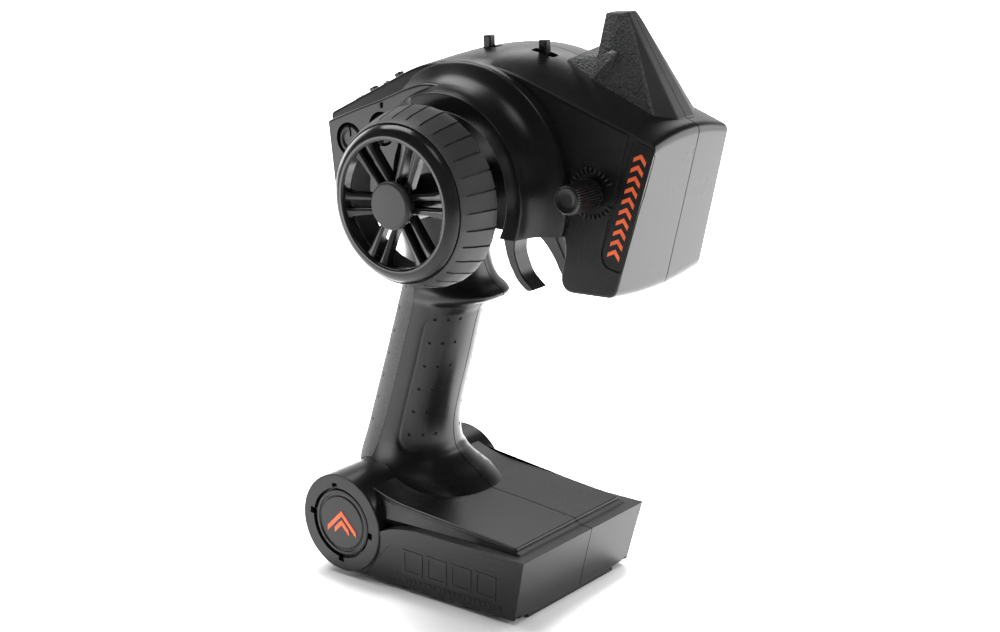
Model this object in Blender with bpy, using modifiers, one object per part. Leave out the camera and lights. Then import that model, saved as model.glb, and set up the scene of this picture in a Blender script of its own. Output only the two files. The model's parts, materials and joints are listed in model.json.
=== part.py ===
"""Pistol-grip radio transmitter with a steering wheel on its right side.

Frame: +X towards the front of the transmitter, +Y to its left, +Z up. The origin is in the middle of the flat
face that it rests on. Lengths in this file are in millimetres and become metres when a mesh is made.
"""

import math

import bmesh
import bpy
from mathutils import Matrix, Vector

MM = 0.001

# Driving dimensions
GAP = 0.3                     # between neighbouring pieces
FAR = 300.0                   # beyond the whole object, for cutters
WALL = 2.4                    # casing wall
SEAM_Y = 4.4                  # the casing's parting plane
BASE_FRONT, BASE_HALF_WIDTH, BASE_INNER_HALF_WIDTH = 52.3, 40.0, 35.5
SHELL_BOTTOM, SKIRT_TOP = 2.0, 27.8
SKIRT_LEAN_FRONT, SKIRT_LEAN_SIDE = 6.3, 2.1
LID_FRONT, LID_HALF_WIDTH = 43.8, 32.8
HEEL_X, HEEL_Z, HEEL_RADIUS = -40.0, 22.6, 20.4
CAP_RECESS_RADIUS, CAP_RADIUS = 14.8, 13.8
HEAD_FRONT, HEAD_REAR = 99.5, -43.0
HEAD_FLOOR = 153.6
HEAD_FRONT_HALF_WIDTH = 24.0
HEAD_TAPER, HEAD_DRAFT = 0.07, 0.05   # sideways growth of the head per mm to the rear, and per mm down
HEAD_TOP_FRONT = 190.0
WHEEL_X, WHEEL_Z = 19.9, 167.5
WHEEL_FACE_Y = -69.2
POD_RADIUS, POD_LIP_RADIUS, POD_WELL_RADIUS = 43.5, 35.3, 29.5
POD_Y, POD_LIP_Y, POD_WELL_Y = -24.0, -44.2, -33.0
SHAFT_RADIUS = 3.0
HUB_RADIUS, BUSH_RADIUS = 8.0, 6.5
SPOKE_TURN = 7.0              # degrees that the spokes stand turned at rest
GRIP_Y = 2.0
TRIGGER_X, TRIGGER_Z, TRIGGER_PIN_RADIUS = 33.0, 164.0, 2.0
TRIGGER_Y, TRIGGER_WIDTH = 2.0, 8.4
KNOB_BASE = Vector((74.4, -27.6, 170.4))
KNOB_RADIUS, KNOB_LENGTH = 5.6, 16.3
DIALS = {"steering_trim_dial": (-30.5, 180.0), "throttle_trim_dial": (-14.0, 185.8)}
DIAL_RADIUS, DIAL_WELL_RADIUS = 5.9, 6.5
ROOF_LEVERS = {"limit_lever": (13.5, -7.0), "aux_lever": (38.5, -6.0)}
PANEL_LEVERS = {"steering_trim_lever": 4.1, "throttle_trim_lever": -10.5}
PANEL_LEVER_ACROSS = -18.5
BIND_RADIUS, LAMP_RADIUS = 2.6, 1.6
TAIL_Y = -37.5                # flat control face behind the wheel
PANEL_X, PANEL_Z = -23.5, 198.7
PANEL_SLOPE = math.radians(27.6)
PANEL_LENGTH, PANEL_WIDTH, PANEL_THICKNESS = 34.0, 50.0, 1.7
CELL_RADIUS, CELL_LENGTH, CELL_PITCH = 7.0, 50.0, 14.8
CELL_Z, CELL_FRONT = 12.6, 30.4
DOOR_HALF_WIDTH, DOOR_REAR, DOOR_FRONT = 28.5, -30.0, 45.4
SCREW_PLACES = [(88.0, 179.0), (54.0, 189.0), (-32.0, 161.0), (78.0, 142.5), (-24.0, 76.0), (42.5, 17.0)]
BADGE_CORNERS, BADGE_DEPTH = [(91.0, 189.6), (97.9, 186.2), (85.6, 143.4), (78.4, 146.4)], 1.2
SCREW_BOSS_RADIUS, SCREW_HEAD_RADIUS, SCREW_SHANK_RADIUS, SCREW_TIP_Y = 4.4, 2.9, 1.3, -8.0

# The head's outline seen from the side: x, height at its sides, height at its middle
HEAD_OUTLINE = [
    (HEAD_REAR, 188.5, 188.5), (-22.0, 199.5, 199.6), (-4.0, 208.9, 209.4), (6.0, 211.8, 213.9),
    (18.0, 212.8, 215.9), (29.0, 212.2, 216.5), (41.0, 209.5, 215.0), (57.0, 203.9, 209.8),
    (78.0, 196.6, 201.4), (92.0, 192.0, 195.4), (HEAD_FRONT, 189.6, 192.6),
    (85.3, 135.4, 133.0), (83.0, 133.6, 131.4), (65.0, 133.2, 131.6), (62.4, 136.2, 135.8),
    (63.8, 149.6, 149.6), (60.4, HEAD_FLOOR, HEAD_FLOOR), (-39.0, HEAD_FLOOR, HEAD_FLOOR),
    (-40.5, 169.0, 169.0),
]
CROWN = [(-1.0, 0.0), (-0.5, 0.75), (0.0, 1.0), (0.5, 0.75), (1.0, 0.0)]

# The grip's sections: height, rear x, front x, half width
GRIP_SECTIONS = [
    (30.0, -50.0, 6.0, 25.0), (34.5, -52.5, 2.0, 24.0), (38.5, -58.0, -3.5, 22.5),
    (42.0, -58.3, -9.5, 20.5), (46.0, -57.2, -14.2, 19.0), (52.0, -55.2, -16.4, 17.6),
    (62.0, -52.2, -15.8, 16.5), (86.0, -44.4, -8.8, 16.1), (111.0, -36.5, -1.2, 15.8),
    (112.6, -36.0, 2.0, 16.2), (113.9, -35.6, 6.8, 16.8), (115.3, -35.3, 9.4, 17.0),
    (117.0, -34.9, 9.9, 17.0), (118.4, -34.6, 8.2, 16.8), (120.4, -34.2, 4.9, 16.3),
    (124.5, -33.5, 2.0, 16.0), (132.5, -32.4, -0.6, 16.4), (141.5, -34.0, -2.0, 18.6),
    (148.5, -36.2, -2.2, 21.5), (155.6, -38.6, -2.4, 25.0),
]
GRIP_POINTS, GRIP_SQUARENESS = 24, 2.35
STRAP_BOTTOM, STRAP_TOP, STRAP_DEPTH = 39.5, 128.0, 2.0

COLOURS = {  # slot: (red, green, blue), roughness, metallic
    "case_plastic": ((0.030, 0.031, 0.033), 0.42, 0.0),
    "textured_plastic": ((0.050, 0.052, 0.055), 0.75, 0.0),
    "gloss_plastic": ((0.016, 0.016, 0.018), 0.16, 0.0),
    "grip_rubber": ((0.045, 0.046, 0.048), 0.80, 0.0),
    "wheel_foam": ((0.040, 0.041, 0.043), 0.70, 0.0),
    "orange_mark": ((0.82, 0.16, 0.05), 0.45, 0.0),
    "lens": ((0.75, 0.08, 0.05), 0.15, 0.0),
    "steel": ((0.60, 0.60, 0.62), 0.30, 1.0),
    "brass": ((0.70, 0.55, 0.25), 0.35, 1.0),
    "board": ((0.02, 0.20, 0.07), 0.50, 0.0),
    "cell_wrap": ((0.10, 0.22, 0.45), 0.35, 0.0),
    "pot_body": ((0.12, 0.12, 0.13), 0.45, 0.0),
}


def clear_scene():
    for obj in list(bpy.data.objects):
        bpy.data.objects.remove(obj)


def new_collection(name):
    collection = bpy.data.collections.new(name)
    bpy.context.scene.collection.children.link(collection)
    return collection


def new_material(name, colour, roughness, metallic):
    made = bpy.data.materials.new(name)
    made.use_nodes = True
    shader = made.node_tree.nodes["Principled BSDF"]
    shader.inputs["Base Color"].default_value = (*colour, 1.0)
    shader.inputs["Roughness"].default_value = roughness
    shader.inputs["Metallic"].default_value = metallic
    return made


clear_scene()
PARTS = new_collection("radio_transmitter")
CUTTERS = new_collection("cutters")
MATERIALS = {slot: new_material(slot, *values) for slot, values in COLOURS.items()}


# ---------------------------------------------------------------- shapes, as bmesh in millimetres

def box(low, high):
    shape = bmesh.new()
    middle = (Vector(low) + Vector(high)) / 2
    size = Vector(high) - Vector(low)
    matrix = Matrix.Translation(middle) @ Matrix.Diagonal((*size, 1.0))
    bmesh.ops.create_cube(shape, size=1.0, matrix=matrix)
    return shape


def cylinder(start, end, radius, end_radius=None, segments=32):
    start, end = Vector(start), Vector(end)
    turn = (end - start).to_track_quat("Z", "X").to_matrix().to_4x4()
    shape = bmesh.new()
    bmesh.ops.create_cone(
        shape, cap_ends=True, segments=segments, radius1=radius,
        radius2=radius if end_radius is None else end_radius, depth=(end - start).length,
        matrix=Matrix.Translation((start + end) / 2) @ turn,
    )
    return shape


def crosswise(x, z, low_y, high_y, radius, segments=32):
    """A cylinder along Y."""
    return cylinder((x, low_y, z), (x, high_y, z), radius, None, segments)


def prism(outline, low_y, high_y):
    """A flat outline of (x, z) points, extruded along Y."""
    shape = bmesh.new()
    face = shape.faces.new([shape.verts.new((x, low_y, z)) for x, z in outline])
    extruded = bmesh.ops.extrude_face_region(shape, geom=[face])["geom"]
    moved = [item for item in extruded if isinstance(item, bmesh.types.BMVert)]
    bmesh.ops.translate(shape, verts=moved, vec=(0.0, high_y - low_y, 0.0))
    return shape


def loft(rings):
    """A closed solid through rings that have the same number of points."""
    shape = bmesh.new()
    rows = [[shape.verts.new(point) for point in ring] for ring in rings]
    count = len(rows[0])
    for lower, upper in zip(rows, rows[1:]):
        for i in range(count):
            j = (i + 1) % count
            shape.faces.new((lower[i], lower[j], upper[j], upper[i]))
    shape.faces.new(rows[0])
    shape.faces.new(rows[-1])
    return shape


def hull(points):
    shape = bmesh.new()
    made = [shape.verts.new(point) for point in points]
    result = bmesh.ops.convex_hull(shape, input=made)
    inside = result["geom_unused"] + result["geom_interior"]
    unused = {item for item in inside if isinstance(item, bmesh.types.BMVert)}
    bmesh.ops.delete(shape, geom=list(unused), context="VERTS")
    return shape


def bevelled(shape, width, segments=2, least_angle=25.0):
    """The shape with its edges sharper than least_angle rounded."""
    bmesh.ops.recalc_face_normals(shape, faces=shape.faces)
    sharp = [edge for edge in shape.edges if edge.calc_face_angle(0.0) > math.radians(least_angle)]
    bmesh.ops.bevel(shape, geom=sharp, offset=width, segments=segments, profile=0.5, affect="EDGES")
    return shape


def placed(shape, matrix):
    bmesh.ops.transform(shape, matrix=matrix, verts=shape.verts)
    return shape


# ---------------------------------------------------------------- objects

def add(name, shape, slot=None, origin=(0.0, 0.0, 0.0)):
    """Make an object of a shape. Without a slot it is a cutter, which is never a piece of its own."""
    origin = Vector(origin)
    bmesh.ops.recalc_face_normals(shape, faces=shape.faces)
    bmesh.ops.translate(shape, verts=shape.verts, vec=-origin)
    bmesh.ops.scale(shape, verts=shape.verts, vec=(MM, MM, MM))
    mesh = bpy.data.meshes.new(name)
    shape.to_mesh(mesh)
    shape.free()
    obj = bpy.data.objects.new(name, mesh)
    obj.location = origin * MM
    finish(obj, slot)
    return obj


def finish(obj, slot):
    if slot is None:
        CUTTERS.objects.link(obj)
        obj.hide_render = True
        obj.display_type = "WIRE"
        return
    PARTS.objects.link(obj)
    obj.data.materials.append(MATERIALS[slot])
    if obj.type == "MESH":
        obj.data.shade_smooth()
        obj.data.set_sharp_from_angle(angle=math.radians(35.0))


def combine(obj, other, operation):
    modifier = obj.modifiers.new(other.name, "BOOLEAN")
    modifier.operation = operation
    modifier.solver = "EXACT"
    modifier.object = other


def cut(obj, name, shape):
    combine(obj, add(name, shape), "DIFFERENCE")


def join(obj, name, shape):
    combine(obj, add(name, shape), "UNION")


def turned(name, profile, slot, origin, axis=(0.0, -1.0, 0.0), segments=48):
    """A profile of (radius, height) points turned about an axis, with heights along it from the origin."""
    mesh = bpy.data.meshes.new(name)
    points = [(radius * MM, 0.0, height * MM) for radius, height in profile]
    closed = profile[0][0] > 0.0
    edges = [(i, i + 1) for i in range(len(points) - 1)]
    if closed:
        edges.append((len(points) - 1, 0))
    mesh.from_pydata(points, edges, [])
    obj = bpy.data.objects.new(name, mesh)
    screw = obj.modifiers.new("turn", "SCREW")
    screw.steps = screw.render_steps = segments
    screw.use_merge_vertices = True
    screw.merge_threshold = 0.00001
    screw.use_smooth_shade = True
    obj.location = Vector(origin) * MM
    obj.rotation_mode = "QUATERNION"
    obj.rotation_quaternion = Vector(axis).to_track_quat("Z", "X")
    finish(obj, slot)
    return obj


def coil(name, start, end, radius, wire_radius, turns, slot, end_radius=None, steps=12):
    """A spring wound from start to end, with its last turn at end_radius."""
    start, end = Vector(start), Vector(end)
    turn = (end - start).to_track_quat("Z", "X").to_matrix()
    length = (end - start).length
    end_radius = radius if end_radius is None else end_radius
    count = int(turns * steps)
    curve = bpy.data.curves.new(name, "CURVE")
    curve.dimensions = "3D"
    curve.bevel_depth = wire_radius * MM
    curve.bevel_resolution = 1
    curve.use_fill_caps = True
    spline = curve.splines.new("POLY")
    spline.points.add(count)
    for i in range(count + 1):
        share = i / count
        angle = 2.0 * math.pi * turns * share
        reach = radius + (end_radius - radius) * share
        local = Vector((reach * math.cos(angle), reach * math.sin(angle), length * share))
        spline.points[i].co = (*(turn @ local * MM), 1.0)
    obj = bpy.data.objects.new(name, curve)
    obj.location = start * MM
    finish(obj, slot)
    return obj


# ---------------------------------------------------------------- the casing's outer forms

def head_half_width(x, z):
    return HEAD_FRONT_HALF_WIDTH + HEAD_TAPER * (100.0 - x) + HEAD_DRAFT * (HEAD_TOP_FRONT - z)


def head_form(inset=0.0):
    """The head between its flat side walls, with a crowned roof. inset moves every surface inwards."""
    outline = inset_outline([(x, side) for x, side, middle in HEAD_OUTLINE], inset)
    rises = [middle - side for x, side, middle in HEAD_OUTLINE]
    rings = []
    for share, crown in CROWN:
        ring = []
        for (x, z), rise in zip(outline, rises):
            ring.append((x, share * (head_half_width(x, z) - inset), z + crown * rise))
        rings.append(ring)
    return loft(rings)


def inset_outline(points, distance):
    """A clockwise outline moved inwards, each corner along its mitre."""
    if distance == 0.0:
        return points
    moved = []
    for i, (x, z) in enumerate(points):
        before, after = Vector(points[i - 1]), Vector(points[(i + 1) % len(points)])
        here = Vector((x, z))
        one = (here - before).normalized()
        two = (after - here).normalized()
        normal = Vector((one.y, -one.x)) + Vector((two.y, -two.x))
        normal = normal.normalized()
        mitre = max(0.5, normal.dot(Vector((one.y, -one.x))))
        moved.append(tuple(here + normal * distance / mitre))
    return moved


def grip_form(inset=0.0, low=0.0, high=999.0):
    rings = []
    for height, rear, front, half_width in GRIP_SECTIONS:
        if not low <= height <= high:
            continue
        middle, reach = (rear + front) / 2.0, (front - rear) / 2.0 - inset
        ring = []
        for i in range(GRIP_POINTS):
            angle = 2.0 * math.pi * i / GRIP_POINTS
            c, s = math.cos(angle), math.sin(angle)
            x = middle + reach * math.copysign(abs(c) ** (2.0 / GRIP_SQUARENESS), c)
            y = GRIP_Y + (half_width - inset) * math.copysign(abs(s) ** (2.0 / GRIP_SQUARENESS), s)
            ring.append((x, y, height))
        rings.append(ring)
    return loft(rings)


def skirt_form():
    """The base's tapered skirt: a block whose lower rim is drawn in at the front and the sides."""
    shape = box((HEEL_X, -BASE_HALF_WIDTH, SHELL_BOTTOM), (BASE_FRONT, BASE_HALF_WIDTH, SKIRT_TOP))
    for vert in shape.verts:
        if vert.co.z < SKIRT_TOP - 1.0:
            vert.co.y -= math.copysign(SKIRT_LEAN_SIDE, vert.co.y)
            if vert.co.x > 0.0:
                vert.co.x -= SKIRT_LEAN_FRONT
    return bevelled(shape, 1.2)


def lid_form():
    outline = [
        (LID_FRONT, 24.0), (LID_FRONT, 30.4), (21.0, 32.4), (1.0, 33.9), (-12.0, 35.0), (-20.0, 36.2),
        (-27.0, 38.4), (-33.0, 41.2), (-38.0, 42.7), (HEEL_X, 42.8), (HEEL_X, 24.0),
    ]
    return bevelled(prism(outline, -LID_HALF_WIDTH, LID_HALF_WIDTH), 1.0, least_angle=50.0)


def barrel(half_width, radius, segments):
    """A cylinder across the base's rear end."""
    return crosswise(HEEL_X, HEEL_Z, -half_width, half_width, radius, segments)


def tail_form():
    outline = [
        (-41.7, 186.0), (-28.0, 191.8), (-13.3, 197.4), (-5.8, 200.9), (3.9, 204.1), (13.5, 206.0),
        (22.0, 206.4), (22.0, HEAD_FLOOR + 0.4), (-38.4, HEAD_FLOOR + 0.4), (-39.9, 169.0),
    ]
    return prism(outline, TAIL_Y, -24.0)


def panel_place(along, across, out=0.0):
    """A point on the sloping rear control panel."""
    c, s = math.cos(PANEL_SLOPE), math.sin(PANEL_SLOPE)
    return Vector((PANEL_X + along * c - out * s, across, PANEL_Z + along * s + out * c))


def panel_block(low, high):
    """A box in the panel's own frame: along its slope, across, and out of it."""
    matrix = Matrix.Translation((PANEL_X, 0.0, PANEL_Z)) @ Matrix.Rotation(-PANEL_SLOPE, 4, "Y")
    return placed(box(low, high), matrix)


def knob_axis():
    return Vector((HEAD_TAPER, -1.0, HEAD_DRAFT)).normalized()


def screw_wall(x, z, side):
    """How far the casing's outer face is from the middle plane at a screw, on the side given."""
    if z > HEAD_FLOOR - 20.0:
        return head_half_width(x, z)
    if z > SKIRT_TOP:
        return 15.4 + side * GRIP_Y
    return 39.0


def beyond_seam(side):
    """All the space across the parting plane from one side, -1 for the right and 1 for the left."""
    edge = SEAM_Y + side * GAP / 2.0
    low, high = sorted((edge, -side * FAR))
    return box((-FAR, low, -FAR), (FAR, high, FAR))


def build_casing():
    """Both casing halves, cut from one outer form along the seam."""
    forms = {
        "pod_form": cylinder(
            (WHEEL_X, POD_Y, WHEEL_Z), (WHEEL_X, POD_LIP_Y, WHEEL_Z), POD_RADIUS, POD_LIP_RADIUS, 60),
        "tail_form": tail_form(),
        "grip_form": grip_form(),
        "skirt_form": skirt_form(),
        "heel_form": barrel(BASE_HALF_WIDTH, HEEL_RADIUS, 48),
        "lid_form": lid_form(),
    }
    forms = {name: add(name, shape) for name, shape in forms.items()}
    pod = forms["pod_form"]
    cut(pod, "pod_floor_cut", box((-40.0, -60.0, 110.0), (80.0, 0.0, HEAD_FLOOR + 0.5)))
    cut(pod, "pod_rear_cut", box((-40.0, -60.0, 110.0), (1.0, -30.0, 220.0)))

    hollows = {
        "head_hollow": head_form(WALL),
        "grip_hollow": grip_form(4.3, 34.0, 999.0),
        "base_hollow": box((HEEL_X, -BASE_INNER_HALF_WIDTH, SHELL_BOTTOM + 3.0),
                           (BASE_FRONT - 8.5, BASE_INNER_HALF_WIDTH, SKIRT_TOP - WALL)),
        "lid_hollow": box((HEEL_X + 4.0, -30.0, 20.0), (LID_FRONT - WALL, 30.0, 28.0)),
        "heel_hollow": barrel(BASE_INNER_HALF_WIDTH, HEEL_RADIUS - WALL, 40),
        "pod_hollow": crosswise(WHEEL_X, WHEEL_Z, POD_WELL_Y + WALL, -18.0, 37.5, 56),
        "tail_hollow": box((-37.0, POD_WELL_Y + WALL, HEAD_FLOOR + 4.0), (0.0, -18.0, 184.0)),
        "pod_well": crosswise(WHEEL_X, WHEEL_Z, -60.0, POD_WELL_Y, POD_WELL_RADIUS, 56),
        "strap_seat": strap_zone(GAP),
        "trigger_slot": box((3.0, TRIGGER_Y - 6.0, 140.0), (58.5, TRIGGER_Y + 6.0, HEAD_FLOOR + 5.0)),
        "lobe_slot": box((52.0, TRIGGER_Y - 8.0, 137.5), (68.0, TRIGGER_Y + 8.0, HEAD_FLOOR + 6.0)),
        "battery_mouth": box((-24.0, -DOOR_HALF_WIDTH - GAP, -1.0), (44.0, DOOR_HALF_WIDTH + GAP, 8.0)),
        "panel_seat": panel_block((-17.3, -25.3, -PANEL_THICKNESS - GAP), (17.3, 25.3, 6.0)),
        "panel_mouth": panel_block((-14.5, -22.5, -8.0), (14.5, 22.5, 3.0)),
    }
    for name, (x, y) in ROOF_LEVERS.items():
        hollows[name + "_slot"] = box((x - 5.2, y - 2.1, 205.0), (x + 5.2, y + 2.1, 222.0))
    hollows = {name: add(name, shape) for name, shape in hollows.items()}

    for side, name in ((-1, "case_right"), (1, "case_left")):
        half = add(name, head_form(), "case_plastic")
        for form in forms.values():
            combine(half, form, "UNION")
        for hollow in hollows.values():
            combine(half, hollow, "DIFFERENCE")
        caps_y = side * (BASE_HALF_WIDTH - 3.2)
        cut(half, name + "_cap_seat", crosswise(HEEL_X, HEEL_Z, caps_y, side * 50.0, CAP_RECESS_RADIUS, 40))
        for i, (x, z) in enumerate(SCREW_PLACES):
            wall = screw_wall(x, z, side)
            start, end = SEAM_Y + side * 0.1, side * (wall - 1.4)
            join(half, f"{name}_boss_{i + 1}", crosswise(x, z, start, end, SCREW_BOSS_RADIUS, 18))
            end = 60.0 if side > 0 else SCREW_TIP_Y - 1.0
            bore = SCREW_SHANK_RADIUS + GAP
            cut(half, f"{name}_bore_{i + 1}", crosswise(x, z, SEAM_Y - side, end, bore, 12))
            if side > 0:
                recess = SCREW_HEAD_RADIUS + GAP
                cut(half, f"screw_recess_{i + 1}", crosswise(x, z, wall - 4.2, 60.0, recess, 16))
        cut(half, name + "_parting", beyond_seam(side))
        if side < 0:
            cut_right_side(half)


def cut_right_side(half):
    """The wheel bush, the rate knob, the trim dials and the badge all sit in the right casing half."""
    join(half, "bush_boss", crosswise(WHEEL_X, WHEEL_Z, -40.0, -27.6, 10.0, 30))
    cut(half, "bush_bore", crosswise(WHEEL_X, WHEEL_Z, -48.0, -20.0, BUSH_RADIUS + GAP, 28))
    axis = knob_axis()
    cut(half, "knob_bore", cylinder(KNOB_BASE + axis * 6.0, KNOB_BASE - axis * 8.0, 3.2 + GAP, None, 24))
    for name, (x, z) in DIALS.items():
        cut(half, name + "_well", crosswise(x, z, -60.0, TAIL_Y + 4.5, DIAL_WELL_RADIUS, 28))
    cut(half, "badge_seat", badge_form(GAP))


def strap_zone(clearance):
    """The space behind the grip that the rubber back strap fills."""
    zone = add("strap_zone_cutter" if clearance else "strap_zone_piece", prism(
        [(-75.0, STRAP_BOTTOM - clearance), (-44.0, STRAP_BOTTOM - clearance),
         (-41.0 + clearance, 48.0), (-22.6 + clearance, 107.0), (-20.0 + clearance, 118.0),
         (-24.0, STRAP_TOP + clearance), (-75.0, STRAP_TOP + clearance)], -30.0, 34.0))
    suffix = "cutter" if clearance else "piece"
    cut(zone, "strap_core_" + suffix, grip_form(STRAP_DEPTH + clearance))
    cut(zone, "strap_heel_" + suffix, barrel(50.0, HEEL_RADIUS + 2.0 * GAP - clearance, 48))
    return mesh_of(zone)


def mesh_of(obj):
    """The evaluated shape of an object, back in millimetres; the object itself is removed."""
    bpy.context.view_layer.update()
    evaluated = obj.evaluated_get(bpy.context.evaluated_depsgraph_get())
    shape = bmesh.new()
    shape.from_mesh(evaluated.to_mesh())
    evaluated.to_mesh_clear()
    bmesh.ops.transform(shape, matrix=obj.matrix_world, verts=shape.verts)
    bmesh.ops.scale(shape, verts=shape.verts, vec=(1.0 / MM, 1.0 / MM, 1.0 / MM))
    bpy.data.objects.remove(obj)
    return shape


def badge_form(clearance):
    """A slanted plate in the right wall, along the head's front edge. A clearance makes the seat for it."""
    depth = BADGE_DEPTH + clearance
    proud = 3.0 if clearance else 0.25
    points = []
    for x, z in inset_outline(BADGE_CORNERS, -clearance):
        wall = -head_half_width(x, z)
        points += [(x, wall - proud, z), (x, wall + depth, z)]
    return hull(points)


# ---------------------------------------------------------------- antenna fin

def build_fin():
    top_rear, top_front, top = 60.4, 70.0, 231.2
    blade, ramp = [], []
    for side in (-1, 1):
        blade += [
            (top_rear, SEAM_Y + side * 3.2, top - 0.9), (top_front, SEAM_Y + side * 2.9, top),
            (93.6, SEAM_Y + side * 5.2, 194.6), (90.5, SEAM_Y + side * 5.4, 188.0),
            (86.0, SEAM_Y + side * 13.4, 188.0), (61.0, SEAM_Y + side * 13.6, 188.0),
            (88.0, SEAM_Y + side * 13.0, 196.5), (61.6, SEAM_Y + side * 13.4, 207.0),
            (61.2, SEAM_Y + side * 6.0, 219.0),
        ]
        ramp += [
            (47.0, SEAM_Y + side * 9.4, 212.6), (48.0, SEAM_Y + side * 9.4, 200.0),
            (62.0, SEAM_Y + side * 13.4, 207.4), (62.0, SEAM_Y + side * 13.4, 200.0),
            (61.3, SEAM_Y + side * 6.0, 219.2), (70.0, SEAM_Y + side * 9.6, 217.2),
        ]
    ramp_form = add("fin_ramp", hull(ramp))
    roof = add("fin_roof_cut", head_form(-GAP))
    channel = add("fin_channel", cylinder((80.0, SEAM_Y, 196.0), (66.0, SEAM_Y, 227.5), 2.0, None, 16))
    for side, name in ((-1, "fin_right"), (1, "fin_left")):
        half = add(name, hull(blade), "textured_plastic")
        combine(half, ramp_form, "UNION")
        combine(half, roof, "DIFFERENCE")
        combine(half, channel, "DIFFERENCE")
        cut(half, name + "_parting", beyond_seam(side))
    add("antenna", cylinder((76.0, SEAM_Y, 205.0), (66.6, SEAM_Y, 226.2), 1.6, None, 16), "brass")


# ---------------------------------------------------------------- steering wheel

def build_wheel():
    centre = (WHEEL_X, WHEEL_FACE_Y, WHEEL_Z)
    # Heights run outwards from the wheel's face plane, so the rear of the rim is negative.
    rim = turned("wheel_rim", [
        (23.1, -1.6), (23.1, 2.3), (23.8, 2.9), (25.6, 2.8), (27.6, 1.5), (28.6, -0.2), (28.6, -1.2),
        (27.6, -1.6), (27.6, -15.2), (25.6, -15.2), (25.2, -4.6),
    ], "gloss_plastic", centre, segments=48)
    join(rim, "wheel_hub", crosswise(WHEEL_X, WHEEL_Z, WHEEL_FACE_Y - 1.6, -50.0, HUB_RADIUS, 36))
    for pair in range(6):
        for side, letter in ((-1, "a"), (1, "b")):
            spoke = box((5.0, WHEEL_FACE_Y - 1.2, -1.35), (24.2, WHEEL_FACE_Y + 2.2, 1.35))
            for vert in spoke.verts:
                if vert.co.x < HUB_RADIUS:
                    vert.co.y += 2.6
            turn = Matrix.Rotation(math.radians(60.0 * pair - SPOKE_TURN), 4, "Y")
            shift = Matrix.Translation((0.0, 0.0, side * 3.3))
            matrix = Matrix.Translation((WHEEL_X, 0.0, WHEEL_Z)) @ turn @ shift
            join(rim, f"spoke_{pair}_{letter}", placed(spoke, matrix))
    cut(rim, "hub_bore", crosswise(WHEEL_X, WHEEL_Z, -66.0, -40.0, SHAFT_RADIUS + GAP, 24))
    turned("wheel_tyre", [
        (27.9, -1.9), (28.9, -1.5), (28.9, -0.5), (29.5, -0.6), (31.3, -5.4), (33.3, -13.6),
        (33.3, -15.4), (32.6, -16.0), (27.9, -16.0),
    ], "wheel_foam", centre, segments=48)
    turned("wheel_cap", [(0.0, 4.3), (5.0, 4.1), (8.0, 3.6), (8.8, 3.0), (8.8, 2.0), (0.0, 2.0)],
           "gloss_plastic", centre, segments=40)
    add("wheel_shaft", crosswise(WHEEL_X, WHEEL_Z, -65.6, -8.0, SHAFT_RADIUS, 24), "steel", centre)
    bore = SHAFT_RADIUS + GAP
    turned("wheel_bush", [
        (bore, 20.0), (BUSH_RADIUS, 20.0), (BUSH_RADIUS, 5.0), (8.4, 5.0), (8.4, 3.4), (bore, 3.4),
    ], "brass", (WHEEL_X, -29.0 + 6.7, WHEEL_Z), segments=28)
    coil("wheel_spring", (WHEEL_X, -24.6, WHEEL_Z), (WHEEL_X, -18.6, WHEEL_Z), 6.0, 0.6, 3.0, "steel")
    turned("steering_pot", [
        (bore, 10.0), (8.0, 10.0), (8.0, 0.0), (bore, 0.0),
    ], "pot_body", (WHEEL_X, -7.0, WHEEL_Z), segments=28)


# ---------------------------------------------------------------- trigger

def build_trigger():
    low, high = TRIGGER_Y - TRIGGER_WIDTH / 2.0, TRIGGER_Y + TRIGGER_WIDTH / 2.0
    outline = [
        (28.5, 166.5), (13.4, 157.0), (13.9, 148.0), (15.0, 140.6), (17.2, 132.2), (21.4, 124.9),
        (26.4, 121.2), (29.8, 122.3), (23.8, 127.0), (20.2, 135.2), (20.8, 141.2), (24.8, 146.0),
        (30.2, 145.0), (34.8, 142.2), (39.4, 136.6), (42.2, 131.2), (44.0, 129.6), (46.0, 131.2),
        (44.6, 137.0), (41.0, 143.4), (38.4, 150.0), (38.5, 164.0),
    ]
    trigger = add("trigger", bevelled(prism(outline, low, high), 0.8, 1, 60.0), "case_plastic",
                  (TRIGGER_X, TRIGGER_Y, TRIGGER_Z))
    join(trigger, "trigger_boss", crosswise(TRIGGER_X, TRIGGER_Z, low - 0.6, high + 0.6, 5.6))
    cut(trigger, "trigger_bore", crosswise(TRIGGER_X, TRIGGER_Z, -30.0, 30.0, TRIGGER_PIN_RADIUS + GAP))
    add("trigger_pin", crosswise(TRIGGER_X, TRIGGER_Z, -5.4, 18.5, TRIGGER_PIN_RADIUS, 20), "steel",
        (TRIGGER_X, TRIGGER_Y, TRIGGER_Z))
    start, end = (TRIGGER_X, 7.8, TRIGGER_Z), (TRIGGER_X, 10.6, TRIGGER_Z)
    coil("trigger_spring", start, end, 4.0, 0.5, 1.6, "steel")
    turned("trigger_pot", [(2.3, 0.0), (7.0, 0.0), (7.0, -5.5), (2.3, -5.5)], "pot_body",
           (TRIGGER_X, 11.6, TRIGGER_Z), segments=24)


# ---------------------------------------------------------------- knob, dials, levers, switches and lamps

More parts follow.
